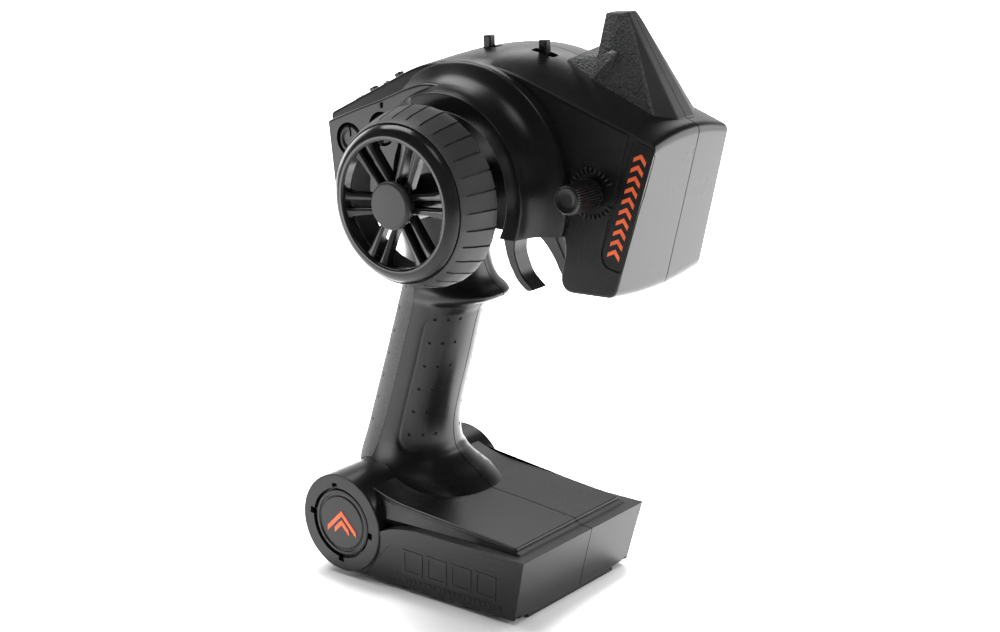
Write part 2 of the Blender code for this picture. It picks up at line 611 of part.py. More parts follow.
def build_rate_knob():
    axis = knob_axis()
    ribs, profile_radius = 30, KNOB_RADIUS
    ring = []
    for i in range(2 * ribs):
        angle = math.pi * i / ribs
        radius = profile_radius if i % 2 == 0 else profile_radius - 0.35
        ring.append((radius * math.cos(angle), radius * math.sin(angle)))
    frame = Matrix.Translation(KNOB_BASE) @ axis.to_track_quat("Z", "X").to_matrix().to_4x4()
    rows = []
    for height, scale in ((1.0, 1.0), (KNOB_LENGTH - 0.8, 0.97), (KNOB_LENGTH, 0.88)):
        rows.append([frame @ Vector((u * scale, v * scale, height)) for u, v in ring])
    knob = add("rate_knob", loft(rows), "case_plastic", KNOB_BASE)
    join(knob, "rate_knob_stem", cylinder(KNOB_BASE + axis * 3.0, KNOB_BASE - axis * 4.0, 2.2, None, 16))
    body = [(3.0, -4.5), (6.6, -4.5), (6.6, -11.0), (3.0, -11.0)]
    turned("rate_pot", body, "pot_body", KNOB_BASE, axis, 24)


def build_trim_dials():
    for name, (x, z) in DIALS.items():
        origin = (x, TAIL_Y + 4.2, z)
        dial = turned(name, [(0.0, 3.8), (4.6, 3.8), (DIAL_RADIUS, 3.0), (DIAL_RADIUS, 0.0), (0.0, 0.0)],
                      "case_plastic", origin, segments=28)
        notch = box((x - 0.5, TAIL_Y - 2.0, z + 1.0), (x + 0.5, TAIL_Y + 1.6, z + 7.0))
        cut(dial, name + "_notch", notch)


def roof_height(x, y):
    """The roof's height over a point, read off the head's outline."""
    for (x1, side1, mid1), (x2, side2, mid2) in zip(HEAD_OUTLINE, HEAD_OUTLINE[1:]):
        if x1 <= x <= x2:
            share = (x - x1) / (x2 - x1)
            side = side1 + (side2 - side1) * share
            middle = mid1 + (mid2 - mid1) * share
            return side + (middle - side) * (1.0 - (y / head_half_width(x, side)) ** 2)
    return HEAD_TOP_FRONT


def build_levers():
    for name, (x, y) in ROOF_LEVERS.items():
        top = roof_height(x, y)
        stub = bevelled(box((x - 1.7, y - 1.6, top - 8.0), (x + 1.7, y + 1.6, top + 4.4)), 0.4, 1)
        lever = add(name, stub, "case_plastic", (x, y, top))
        join(lever, name + "_foot", box((x - 3.2, y - 3.2, top - 9.2), (x + 3.2, y + 3.2, top - 7.0)))
        body = name.replace("lever", "switch")
        add(body, box((x - 8.0, y - 4.2, top - 15.0), (x + 8.0, y + 4.2, top - 9.6)), "pot_body")
    for name, along in PANEL_LEVERS.items():
        across = PANEL_LEVER_ACROSS
        stub = panel_block((along - 1.4, across - 1.4, -4.0), (along + 1.4, across + 1.4, 3.6))
        lever = add(name, bevelled(stub, 0.3, 1), "case_plastic", panel_place(along, across))
        join(lever, name + "_foot", panel_block(
            (along - 1.8, across - 1.6, -4.6), (along + 1.8, across + 1.6, -2.4)))


def build_panel():
    half_length, half_width = PANEL_LENGTH / 2.0, PANEL_WIDTH / 2.0
    plate = panel_block((-half_length, -half_width, -PANEL_THICKNESS), (half_length, half_width, 0.0))
    panel = add("rear_panel", bevelled(plate, 0.3, 1), "gloss_plastic")
    # along, across, half length and half width of each slot
    slots = {
        "steering_trim": (PANEL_LEVERS["steering_trim_lever"], PANEL_LEVER_ACROSS, 1.7, 3.7),
        "throttle_trim": (PANEL_LEVERS["throttle_trim_lever"], PANEL_LEVER_ACROSS, 3.7, 1.7),
        "power": (-8.9, 6.0, 4.5, 2.2), "steering_reverse": (6.0, 4.0, 2.1, 3.4),
        "throttle_reverse": (6.0, 14.0, 2.1, 3.4),
    }
    for name, (along, across, length, width) in slots.items():
        cut(panel, name + "_slot", panel_block(
            (along - length, across - width, -6.0), (along + length, across + width, 4.0)))
    holes = {
        "bind": (-9.0, 17.0, BIND_RADIUS), "power_lamp": (12.0, -5.0, LAMP_RADIUS),
        "status_lamp": (12.0, -11.0, LAMP_RADIUS),
    }
    for name, (along, across, radius) in holes.items():
        cut(panel, name + "_hole", cylinder(
            panel_place(along, across, -6.0), panel_place(along, across, 4.0), radius + GAP, None, 20))
    add("power_switch", bevelled(panel_block((-13.1, 4.1, -3.6), (-9.3, 7.9, 1.8)), 0.3, 1), "orange_mark",
        panel_place(-11.2, 6.0))
    for name, across in (("steering_reverse_switch", 2.7), ("throttle_reverse_switch", 12.7)):
        add(name, bevelled(panel_block((4.2, across - 1.8, -3.4), (7.8, across + 1.8, 0.8)), 0.25, 1),
            "case_plastic", panel_place(6.0, across))
    along, across, radius = holes["bind"]
    plunger = cylinder(panel_place(along, across, -3.4), panel_place(along, across, 1.2), radius, None, 20)
    button = add("bind_button", plunger, "case_plastic", panel_place(along, across))
    join(button, "bind_collar", cylinder(
        panel_place(along, across, -3.8), panel_place(along, across, -2.2), radius + 1.0, None, 20))
    for name in ("power_lamp", "status_lamp"):
        along, across, radius = holes[name]
        start, end = panel_place(along, across, -3.0), panel_place(along, across, 0.5)
        add(name, cylinder(start, end, radius, None, 16), "lens")
    add("switch_board", panel_block((-13.8, -22.0, -7.4), (13.8, 22.0, -5.8)), "board")


# ---------------------------------------------------------------- boards, cells, covers and fasteners

def build_electronics():
    add("main_board", box((-10.0, 20.0, 158.0), (48.0, 21.6, 196.0)), "board")
    radio = add("radio_board", box((56.0, 14.0, 157.4), (80.0, 15.4, 174.0)), "board")
    join(radio, "radio_shield", box((58.0, 10.5, 159.0), (74.0, 14.5, 171.0)))


def build_battery():
    plate = box((DOOR_REAR, -DOOR_HALF_WIDTH, 0.0), (DOOR_FRONT, DOOR_HALF_WIDTH, SHELL_BOTTOM - GAP))
    door = add("battery_door", bevelled(plate, 0.4, 1), "case_plastic")
    join(door, "door_plug", box((-23.6, -DOOR_HALF_WIDTH + 0.2, 1.0), (33.4, DOOR_HALF_WIDTH - 0.2, 4.6)))
    front_plate, rear_plate = CELL_FRONT + 4.0, CELL_FRONT - CELL_LENGTH - 4.0
    add("contact_plate_front", box((front_plate, -29.5, 6.0), (front_plate + 0.8, 29.5, 19.5)), "steel")
    add("contact_plate_rear", box((rear_plate - 0.8, -29.5, 6.0), (rear_plate, 29.5, 19.5)), "steel")
    for i in range(4):
        y = CELL_PITCH * (i - 1.5)
        faces_front = i % 2 == 0
        ends = (CELL_FRONT - CELL_LENGTH, CELL_FRONT)
        can = cylinder((ends[0], y, CELL_Z), (ends[1], y, CELL_Z), CELL_RADIUS, None, 20)
        cell = add(f"battery_cell_{i + 1}", can, "cell_wrap", ((ends[0] + ends[1]) / 2.0, y, CELL_Z))
        tip = ends[0] if faces_front else ends[1]
        out = -1.0 if faces_front else 1.0
        button = cylinder((tip - out, y, CELL_Z), (tip + out * 1.2, y, CELL_Z), 2.7, None, 16)
        join(cell, f"cell_button_{i + 1}", button)
        if faces_front:
            start, end = front_plate - 0.6, ends[1] + 0.9
        else:
            start, end = rear_plate + 0.6, ends[0] - 0.9
        start, end = (start, y, CELL_Z), (end, y, CELL_Z)
        coil(f"contact_spring_{i + 1}", start, end, 4.4, 0.4, 2.0, "steel", 2.4, 9)


def build_covers():
    strap = add("grip_back_strap", strap_zone(0.0), "grip_rubber")
    combine(strap, add("strap_outer", grip_form()), "INTERSECT")
    add("side_badge", badge_form(0.0), "gloss_plastic")
    for side, name in ((-1, "heel_cap_right"), (1, "heel_cap_left")):
        origin = (HEEL_X, side * (BASE_HALF_WIDTH - 2.9), HEEL_Z)
        profile = [(0.0, 2.5), (11.6, 2.3), (CAP_RADIUS, 1.8), (CAP_RADIUS, 0.0), (0.0, 0.0)]
        cap = turned(name, profile, "case_plastic", origin, (0.0, float(side), 0.0), 40)
        for angle in (170.0, -75.0):
            x = HEEL_X + CAP_RADIUS * math.cos(math.radians(angle))
            z = HEEL_Z + CAP_RADIUS * math.sin(math.radians(angle))
            cut(cap, f"{name}_notch_{int(angle)}", crosswise(x, z, side * 30.0, side * 50.0, 1.7, 12))


def build_screws():
    for i, (x, z) in enumerate(SCREW_PLACES):
        top = screw_wall(x, z, 1) - 1.4
        head = crosswise(x, z, top - 2.3, top, SCREW_HEAD_RADIUS, 14)
        screw = add(f"case_screw_{i + 1}", head, "steel", (x, top, z))
        join(screw, f"screw_shank_{i + 1}", crosswise(x, z, SCREW_TIP_Y, top - 1.0, SCREW_SHANK_RADIUS, 10))


build_casing()
build_fin()
build_wheel()
build_trigger()
build_rate_knob()
build_trim_dials()
build_levers()
build_panel()
build_electronics()
build_battery()
build_covers()
build_screws()
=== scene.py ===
import json
from math import copysign, cos, hypot, pi, radians, sin

import bmesh
import bpy
from mathutils import Matrix, Vector


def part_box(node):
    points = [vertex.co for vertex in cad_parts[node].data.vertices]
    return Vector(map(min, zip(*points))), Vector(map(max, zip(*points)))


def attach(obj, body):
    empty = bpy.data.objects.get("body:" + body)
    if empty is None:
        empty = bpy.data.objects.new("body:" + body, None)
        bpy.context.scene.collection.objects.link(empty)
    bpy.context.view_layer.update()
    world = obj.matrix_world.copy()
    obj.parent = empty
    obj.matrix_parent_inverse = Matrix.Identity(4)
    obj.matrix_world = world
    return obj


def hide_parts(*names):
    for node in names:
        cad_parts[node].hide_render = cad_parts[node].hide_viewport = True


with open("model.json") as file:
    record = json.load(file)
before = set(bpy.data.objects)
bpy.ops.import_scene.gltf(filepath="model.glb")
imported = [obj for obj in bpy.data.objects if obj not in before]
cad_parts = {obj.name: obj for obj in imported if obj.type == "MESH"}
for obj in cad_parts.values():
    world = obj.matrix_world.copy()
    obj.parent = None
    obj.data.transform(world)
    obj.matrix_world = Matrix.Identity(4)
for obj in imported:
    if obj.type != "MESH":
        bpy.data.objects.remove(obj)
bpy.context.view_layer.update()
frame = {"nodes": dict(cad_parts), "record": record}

# The looks of a pistol-grip radio transmitter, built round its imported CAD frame: +X forwards, +Y to its left,
# +Z up. Lengths here are in millimetres and become metres when a mesh is made.

MM = 0.001
TURN = 2 * pi

# ---- driving dimensions


def node_box(name):
    """A CAD node's box in millimetres."""
    low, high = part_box(name)
    return low / MM, high / MM


GAP = 0.3                                  # between neighbouring pieces
WALL = 2.4
SEAM_Y, SEAM_GAP = 4.4, 0.45               # the casing's parting plane
WHEEL_LOW, WHEEL_HIGH = node_box("wheel_tyre")
WHEEL_X = (WHEEL_LOW.x + WHEEL_HIGH.x) / 2
WHEEL_Z = (WHEEL_LOW.z + WHEEL_HIGH.z) / 2
WHEEL_FACE_Y = -69.2
SPOKE_TURN = 7                           # degrees that the spokes stand turned at rest
TYRE_RADIUS = (WHEEL_HIGH.z - WHEEL_LOW.z) / 2
CAP_LOW, CAP_HIGH = node_box("heel_cap_right")
HEEL_X = (CAP_LOW.x + CAP_HIGH.x) / 2
HEEL_Z = (CAP_LOW.z + CAP_HIGH.z) / 2
HEEL_RADIUS, CAP_RECESS_RADIUS, CAP_RADIUS = 20.4, 14.8, 13.8
BASE_HALF_WIDTH = 40
HEAD_FLOOR = 153.6
GRIP_Y = 2
TRIGGER_WIDTH = 8.4
TAIL_Y = -37.5
POD_WELL_Y, POD_WELL_RADIUS = -33, 29.5
DIALS = {"steering_trim_dial": (-30.5, 180), "throttle_trim_dial": (-14, 185.8)}
ROOF_LEVERS = {"limit_lever": (13.5, -7), "aux_lever": (38.5, -6)}
PANEL_LEVERS = {"steering_trim_lever": 4.1, "throttle_trim_lever": -10.5}
PANEL_LEVER_ACROSS = -18.5
PANEL_X, PANEL_Z, PANEL_SLOPE = -23.5, 198.7, radians(27.6)
PANEL_LENGTH, PANEL_WIDTH, PANEL_THICKNESS = 34, 50, 1.7
KNOB_BASE = Vector((74.4, -27.6, 170.4))
KNOB_AXIS = Vector((0.07, -1, 0.05)).normalized()
KNOB_RADIUS, KNOB_LENGTH = 5.6, 16.3
SCREW_PLACES = [(88, 179), (54, 189), (-32, 161), (78, 142.5), (-24, 76), (42.5, 17)]


# ---- outlines

def eased(before, here, after, reach, steps):
    """Points on a curve round a corner, from reach before it to reach after it."""
    ways = before - here, after - here
    start, end = (here + way * min(0.48, reach / max(way.xy.length, 0.001)) for way in ways)
    made = []
    for k in range(steps + 1):
        t = k / steps
        made.append(start * (1 - t) ** 2 + here * 2 * t * (1 - t) + end * t ** 2)
    return made


def rounded(corners, steps=5):
    """A closed outline through (u, v, reach) corners, each rounded from reach before it to reach after it.
    A fourth value, where a corner has one, is blended along the outline in the same way."""
    spots = [Vector((corner[0], corner[1], corner[3] if len(corner) > 3 else 0)) for corner in corners]
    made = []
    for i, corner in enumerate(corners):
        made += eased(spots[i - 1], spots[i], spots[(i + 1) % len(spots)], corner[2], steps)
    return made


def inward(outline, distance):
    """The outline moved inwards by a distance, along the normal at each point."""
    if distance == 0:
        return outline
    count = len(outline)
    area = sum(outline[i - 1].x * outline[i].y - outline[i].x * outline[i - 1].y for i in range(count))
    side = 1 if area > 0 else -1
    moved = []
    for i, here in enumerate(outline):
        one = (here - outline[i - 1]).xy.normalized()
        two = (outline[(i + 1) % count] - here).xy.normalized()
        along = (one + two).normalized()
        reach = distance / max(0.6, along.dot(one))
        moved.append(Vector((here.x - along.y * side * reach, here.y + along.x * side * reach, here.z)))
    return moved


def disc(radius, count, u=0, v=0):
    """A circle as an outline."""
    angles = [TURN * i / count for i in range(count)]
    return [Vector((u + radius * cos(a), v + radius * sin(a), 0)) for a in angles]


def rectangle(low_u, low_v, high_u, high_v, reach):
    corners = ((low_u, low_v), (high_u, low_v), (high_u, high_v), (low_u, high_v))
    return rounded([(u, v, reach) for u, v in corners])


# ---- solids, as bmesh in millimetres

def skin(shape, rows):
    """Faces from each row of points to the next."""
    for lower, upper in zip(rows, rows[1:]):
        for i in range(len(lower)):
            j = (i + 1) % len(lower)
            shape.faces.new((lower[i], lower[j], upper[j], upper[i]))


def loft(rings):
    """A closed solid through rings that have the same number of points."""
    shape = bmesh.new()
    rows = [[shape.verts.new(point) for point in ring] for ring in rings]
    skin(shape, rows)
    shape.faces.new(rows[0])
    shape.faces.new(rows[-1])
    return shape


def slab(outline, low, high, place, low_fillet=0, high_fillet=0, steps=4):
    """An outline given thickness from low to high, with its two rims rounded.
    place turns (u, v, depth) to a point."""
    levels = []
    for k in range(steps + 1 if low_fillet else 1):
        t = pi / 2 * k / steps
        levels.append((low_fillet * (1 - sin(t)), low + low_fillet * (1 - cos(t))))
    for k in range(steps + 1 if high_fillet else 1):
        t = pi / 2 * k / steps
        levels.append((high_fillet * (1 - cos(t)), high - high_fillet * (1 - sin(t))))
    return loft([[place(p.x, p.y, depth) for p in inward(outline, inset)] for inset, depth in levels])


def side_on(u, v, depth):
    """Outline in x and z, depth along y."""
    return Vector((u, depth, v))


def plan(u, v, depth):
    """Outline in x and y, depth along z."""
    return Vector((u, v, depth))


def box(low, high):
    shape = bmesh.new()
    size = Vector(high) - Vector(low)
    matrix = Matrix.Translation((Vector(low) + Vector(high)) / 2) @ Matrix.Diagonal((*size, 1))
    bmesh.ops.create_cube(shape, size=1, matrix=matrix)
    return shape


def facing(origin, axis):
    """A frame at a place, with its Z along an axis."""
    return Matrix.Translation(origin) @ Vector(axis).to_track_quat("Z", "X").to_matrix().to_4x4()


def rod(start, end, radius, segments=32):
    start, end = Vector(start), Vector(end)
    shape = bmesh.new()
    bmesh.ops.create_cone(
        shape, cap_ends=True, segments=segments, radius1=radius, radius2=radius, depth=(end - start).length,
        matrix=facing((start + end) / 2, end - start))
    return shape


def crosswise(x, z, low_y, high_y, radius, segments=32):
    """A rod that runs from side to side."""
    return rod((x, low_y, z), (x, high_y, z), radius, segments)


def ball(centre, radius):
    shape = bmesh.new()
    bmesh.ops.create_uvsphere(
        shape, u_segments=12, v_segments=8, radius=radius, matrix=Matrix.Translation(centre))
    return shape


def turned(profile, origin, axis, segments=96):
    """A profile of (radius, height) points turned about an axis, from axis to axis or closing on itself."""
    matrix = facing(origin, axis)
    shape = bmesh.new()
    rows = []
    for radius, height in profile:
        angles = [TURN * i / segments for i in range(segments if radius > 0.001 else 1)]
        spots = [Vector((radius * cos(a), radius * sin(a), height)) for a in angles]
        rows.append([shape.verts.new(matrix @ spot) for spot in spots])
    if len(rows[0]) > 1:
        rows.append(rows[0])
    for lower, upper in zip(rows, rows[1:]):
        for i in range(segments):
            j = (i + 1) % segments
            corners = (lower[i % len(lower)], lower[j % len(lower)],
                       upper[j % len(upper)], upper[i % len(upper)])
            unique = list(dict.fromkeys(corners))
            if len(unique) > 2:
                shape.faces.new(unique)
    return shape


def soft_profile(corners, steps=4):
    """A turned profile with rounded corners, from (radius, height, reach) corners. Its ends stay in place."""
    made = []
    for i, (u, v, reach) in enumerate(corners):
        if i in (0, len(corners) - 1) or reach == 0:
            made.append((u, v))
        else:
            before, here, after = (Vector(corner[:2]) for corner in corners[i - 1:i + 2])
            made += [(p.x, p.y) for p in eased(before, here, after, reach, steps)]
    return made


def bevelled(shape, width, segments=2, least_angle=25):
    """The shape with its edges sharper than least_angle rounded."""
    bmesh.ops.recalc_face_normals(shape, faces=shape.faces)
    sharp = [edge for edge in shape.edges if edge.calc_face_angle(0) > radians(least_angle)]
    bmesh.ops.bevel(shape, geom=sharp, offset=width, segments=segments, profile=0.5, affect="EDGES")
    return shape


def placed(shape, matrix):
    bmesh.ops.transform(shape, matrix=matrix, verts=shape.verts)
    return shape


def mirrored(shape):
    """The shape on the other side of the object's middle."""
    return placed(shape, Matrix.Diagonal((1, -1, 1, 1)))


def together(shapes):
    """Shapes that don't touch, gathered in one."""
    whole = bmesh.new()
    for shape in shapes:
        bmesh.ops.recalc_face_normals(shape, faces=shape.faces)
        mesh = bpy.data.meshes.new("gathered")
        shape.to_mesh(mesh)
        shape.free()
        whole.from_mesh(mesh)
        bpy.data.meshes.remove(mesh)
    return whole


# ---- objects

def raw_object(name, shape):
    bmesh.ops.recalc_face_normals(shape, faces=shape.faces)
    bmesh.ops.scale(shape, verts=shape.verts, vec=(MM, MM, MM))
    mesh = bpy.data.meshes.new(name)
    shape.to_mesh(mesh)
    shape.free()
    obj = bpy.data.objects.new(name, mesh)
    bpy.context.scene.collection.objects.link(obj)
    return obj


def shape_of(obj):
    """An object's evaluated shape, back in millimetres. The object is removed."""
    bpy.context.view_layer.update()
    evaluated = obj.evaluated_get(bpy.context.evaluated_depsgraph_get())
    shape = bmesh.new()
    shape.from_mesh(evaluated.to_mesh())
    evaluated.to_mesh_clear()
    bmesh.ops.scale(shape, verts=shape.verts, vec=(1 / MM, 1 / MM, 1 / MM))
    bpy.data.objects.remove(obj)
    return shape


def carve_in_turn(shape, steps):
    """The shape after each (operation, other shape) step, done by the manifold solver."""
    obj = raw_object("carved", shape)
    tools = []
    for operation, other in steps:
        tools.append(raw_object("tool", other))
        modifier = obj.modifiers.new(operation, "BOOLEAN")
        modifier.operation = operation
        modifier.solver = "MANIFOLD"
        modifier.object = tools[-1]
    result = shape_of(obj)
    for tool in tools:
        bpy.data.objects.remove(tool)
    return result


def carve(shape, added=(), cut=(), within=()):
    """The shape with some shapes added, then kept within others, then cut by others."""
    groups = (("UNION", added), ("INTERSECT", within), ("DIFFERENCE", cut))
    return carve_in_turn(shape, [(operation, other) for operation, others in groups for other in others])


def piece(name, shape, material, replaced=(), body="transmitter", sharp=32):
    """A finished piece of the visual model, riding on a CAD body."""
    obj = raw_object(name, shape)
    mesh = obj.data
    mesh.shade_smooth()
    mesh.set_sharp_from_angle(angle=radians(sharp))
    materials = material if isinstance(material, list) else [material]
    for entry in materials:
        mesh.materials.append(entry)
    weighted = obj.modifiers.new("weighted normals", "WEIGHTED_NORMAL")
    weighted.keep_sharp = True
    weighted.weight = 60
    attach(obj, body)
    if replaced:
        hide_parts(*replaced)
    return obj


# ---- materials

FINISHES = {}                              # every material, by the name of its slot


def nodes_of(name):
    material = bpy.data.materials.new(name)
    FINISHES[name] = material
    material.use_nodes = True
    tree = material.node_tree
    return material, tree, tree.nodes["Principled BSDF"]


def feed(tree, node, sockets):
    """Each socket named is set to a value, or linked to another node's output."""
    for key, value in sockets.items():
        socket = node.inputs[key]
        if isinstance(value, bpy.types.NodeSocket):
            tree.links.new(value, socket)
        else:
            socket.default_value = (*value, 1) if socket.type == "RGBA" else value


def add(tree, kind, sockets, **settings):
    """A new node with its settings made and its sockets fed."""
    node = tree.nodes.new(kind)
    for key, value in settings.items():
        setattr(node, key, value)
    feed(tree, node, sockets)
    return node


def noise(tree, scale, detail=2, roughness=0.5):
    """Noise in the object's own frame, with scale in features per millimetre."""
    place = add(tree, "ShaderNodeTexCoord", {}).outputs["Object"]
    sockets = {"Vector": place, "Scale": scale / MM, "Detail": detail, "Roughness": roughness}
    return add(tree, "ShaderNodeTexNoise", sockets).outputs["Fac"]


def ranged(tree, value, low, high, start=0.3, end=0.7):
    """A value from start to end, spread over low to high."""
    sockets = {"Value": value, "From Min": start, "From Max": end, "To Min": low, "To Max": high}
    return add(tree, "ShaderNodeMapRange", sockets).outputs["Result"]


def mixed(tree, share, one, two):
    """A colour between one and two. Either may be a colour or another node's output."""
    return add(tree, "ShaderNodeMix", {"Factor": share, 6: one, 7: two}, data_type="RGBA").outputs[2]


def edge_share(tree, radius, start=0.02, end=0.25):
    """1 along worn edges, 0 on open faces: how far the bevelled normal turns from the true one."""
    bevel = add(tree, "ShaderNodeBevel", {"Radius": radius * MM}, samples=4)
    geometry = add(tree, "ShaderNodeNewGeometry", {})
    dot = add(tree, "ShaderNodeVectorMath", {0: bevel.outputs["Normal"], 1: geometry.outputs["Normal"]},
              operation="DOT_PRODUCT")
    return ranged(tree, dot.outputs["Value"], 1, 0, 1 - end, 1 - start)


def bumped(tree, layers):
    """A normal from (value, strength, depth in millimetres) layers."""
    sockets = {}
    for value, strength, depth in layers:
        sockets.update({"Height": value, "Strength": strength, "Distance": depth * MM})
        sockets["Normal"] = add(tree, "ShaderNodeBump", sockets).outputs["Normal"]
    return sockets["Normal"]


def plastic(name, dark, light, roughness, grain, depth, worn=(0.07, 0.07, 0.072), wear=0.35):
    """Moulded plastic: a fine grain, slow changes of gloss and tone, and edges rubbed a little lighter."""
    material, tree, shader = nodes_of(name)
    fine = noise(tree, grain, 3)
    slow = noise(tree, 0.035, 3)
    tone = mixed(tree, ranged(tree, slow, 0, 1), dark, light)
    edges = add(tree, "ShaderNodeMath", {0: edge_share(tree, 0.35), 1: wear}, operation="MULTIPLY")
    feed(tree, shader, {
        "Base Color": mixed(tree, edges.outputs[0], tone, worn), "Specular IOR Level": 0.3,
        "Roughness": ranged(tree, slow, roughness - 0.012, roughness + 0.018),
        "Normal": bumped(tree, [(fine, 0.5, depth)])})
    return material


def sparked(name, dark, light, roughness, scale, depth):
    """Plastic from a coarse spark-eroded mould: close pits that catch the light."""
    material, tree, shader = nodes_of(name)
    place = add(tree, "ShaderNodeTexCoord", {}).outputs["Object"]
    pits = add(tree, "ShaderNodeTexVoronoi", {"Scale": scale / MM, "Vector": place}).outputs["Distance"]
    fine = noise(tree, scale * 1.7, 3, 0.6)
    feed(tree, shader, {
        "Base Color": mixed(tree, ranged(tree, fine, 0, 1, 0.4, 0.62), dark, light),
        "Roughness": ranged(tree, fine, roughness - 0.12, roughness + 0.1),
        "Normal": bumped(tree, [(pits, 0.9, depth), (fine, 0.8, depth * 0.6)])})
    return material


def metal(name, dark, light, roughness, scale):
    material, tree, shader = nodes_of(name)
    slow = noise(tree, scale, 4)
    feed(tree, shader, {
        "Base Color": mixed(tree, ranged(tree, slow, 0, 1), dark, light), "Metallic": 1,
        "Roughness": ranged(tree, slow, roughness - 0.06, roughness + 0.1),
        "Normal": bumped(tree, [(noise(tree, scale * 12), 0.3, 0.01)])})
    return material


CASE = plastic("case_plastic", (0.0055, 0.0055, 0.0058), (0.0078, 0.0076, 0.0076), 0.28, 2.2, 0.012)
# The darker matt plastic is also laid on the inner walls of the wheel's ring, as painted shade in that hollow.
MATT = plastic("matt_plastic", (0.0035, 0.0035, 0.0035), (0.005, 0.005, 0.005), 0.60, 3, 0.03, wear=0.1)
GLOSS = plastic("gloss_plastic", (0.010, 0.010, 0.0105), (0.013, 0.013, 0.0135), 0.16, 0.5, 0.004, wear=0.2)
SATIN = plastic("satin_plastic", (0.024, 0.024, 0.025), (0.030, 0.030, 0.031), 0.36, 2.4, 0.012)
RUBBER = sparked("grip_rubber", (0.022, 0.022, 0.0225), (0.075, 0.075, 0.074), 0.62, 1.5, 0.10)
FOAM = plastic("wheel_foam", (0.030, 0.030, 0.031), (0.040, 0.040, 0.041), 0.42, 2.8, 0.05, wear=0.5)
SPARKLE = sparked("textured_plastic", (0.012, 0.012, 0.0125), (0.07, 0.072, 0.076), 0.40, 1.25, 0.16)
ORANGE = plastic("orange_mark", (0.72, 0.105, 0.028), (0.82, 0.135, 0.04), 0.45, 3, 0.02,
                 worn=(0.86, 0.2, 0.08))
MARK = plastic("moulded_mark", (0.020, 0.020, 0.021), (0.030, 0.030, 0.031), 0.5, 3, 0.02)
plastic("lens", (0.45, 0.02, 0.012), (0.55, 0.03, 0.02), 0.12, 1, 0.004, worn=(0.6, 0.06, 0.04))
STEEL = metal("steel", (0.45, 0.45, 0.46), (0.62, 0.62, 0.63), 0.28, 0.4)
metal("brass", (0.52, 0.38, 0.14), (0.68, 0.52, 0.22), 0.32, 0.4)
plastic("board", (0.008, 0.075, 0.03), (0.012, 0.11, 0.045), 0.42, 1.6, 0.02, worn=(0.2, 0.22, 0.1))
plastic("cell_wrap", (0.04, 0.09, 0.22), (0.06, 0.12, 0.28), 0.3, 0.6, 0.01, worn=(0.3, 0.3, 0.32))
plastic("pot_body", (0.035, 0.035, 0.038), (0.055, 0.055, 0.058), 0.45, 1.8, 0.02)


def finish_frame():
    """Every CAD node that stays visible takes the finish of its slot in the record."""
    for entry in frame["record"]["subparts"]:
        node = frame["nodes"][entry["node"]]
        node.data.materials.clear()
        node.data.materials.append(FINISHES[entry["material_slot"]])


# ---- the head

# The head's outline from the side: x, height at its sides, reach of the rounding, rise of its crown
HEAD_CORNERS = [
    (-43, 188.5, 1.5, 0), (-22, 199.5, 8, 0.1), (-4, 208.9, 6, 0.5), (6, 211.8, 5.5, 2.1),
    (18, 212.8, 5.5, 3.1), (29, 212.2, 5.5, 4.3), (41, 209.5, 6, 5.5), (57, 203.9, 8, 5.9),
    (78, 196.6, 7, 4.8), (92, 192, 3.5, 3.4), (99.5, 189.6, 3, 3), (85.3, 135.4, 2.4, -2.4),
    (83, 133.6, 1.2, -2.2), (64.4, 133.2, 3, -1.6), (61.9, 137.2, 2.6, -0.4), (63.9, 148.6, 3, 0),
    (62.9, HEAD_FLOOR + 0.6, 3, 0), (56, HEAD_FLOOR, 2, 0), (-39, HEAD_FLOOR, 2, 0),
    (-40.5, 169, 6, 0),
]
HEAD_FILLET = 1.1


def head_half_width(x, z):
    return 24 + 0.07 * (100 - x) + 0.05 * (190 - z)


def head_form():
    outline = rounded(HEAD_CORNERS)
    levels = []
    for k in range(6):
        t = pi / 2 * k / 5
        levels.append((HEAD_FILLET * (1 - sin(t)), HEAD_FILLET * (1 - cos(t)), 1))
    levels += [(0, HEAD_FILLET, share / 6) for share in range(5, -1, -1)]
    rings = []
    for side, chosen in ((-1, levels), (1, levels[-2::-1])):
        for inset, back, share in chosen:
            ring = []
            for p in inward(outline, inset):
                half = head_half_width(p.x, p.y)
                y = side * (half - back) * share
                ring.append(Vector((p.x, y, p.y + p.z * (1 - (y / half) ** 2))))
            rings.append(ring)
    return loft(rings)


def roof_height(x, y):
    """The roof's height over a point, read off the head's corners."""
    for one, two in zip(HEAD_CORNERS, HEAD_CORNERS[1:]):
        if one[0] <= x <= two[0]:
            share = (x - one[0]) / (two[0] - one[0])
            side = one[1] + (two[1] - one[1]) * share
            rise = one[3] + (two[3] - one[3]) * share
            return side + rise * (1 - (y / head_half_width(x, side)) ** 2)
    return 190


def pod_form():
    """The collar that the wheel turns in: a cone that ends in a lip, faded out towards the flat tail."""
    profile = soft_profile([
        (0, 20, 0), (46, 20, 0), (45.6, 30.2, 0.9), (43.2, 31.6, 1.2), (39.4, 34, 5),
        (36.6, 39.6, 5), (36, 43.9, 0.5), (POD_WELL_RADIUS, 44.2, 0.7), (POD_WELL_RADIUS - 0.4, 36, 0),
        (0, 36, 0),
    ])
    cone = turned(profile, (WHEEL_X, 0, WHEEL_Z), (0, -1, 0), 160)
    floor = box((-60, -70, 90), (90, 0, HEAD_FLOOR))
    ramp = slab(rounded([(12, -70, 0), (10, -46, 0), (5, -43.4, 4), (-4, TAIL_Y - 0.1, 4),
                         (-18, TAIL_Y + 0.6, 4), (-24, -30, 2), (-70, -30, 0), (-70, -70, 0)]),
                100, 230, plan)
    return carve(cone, cut=[floor, ramp])


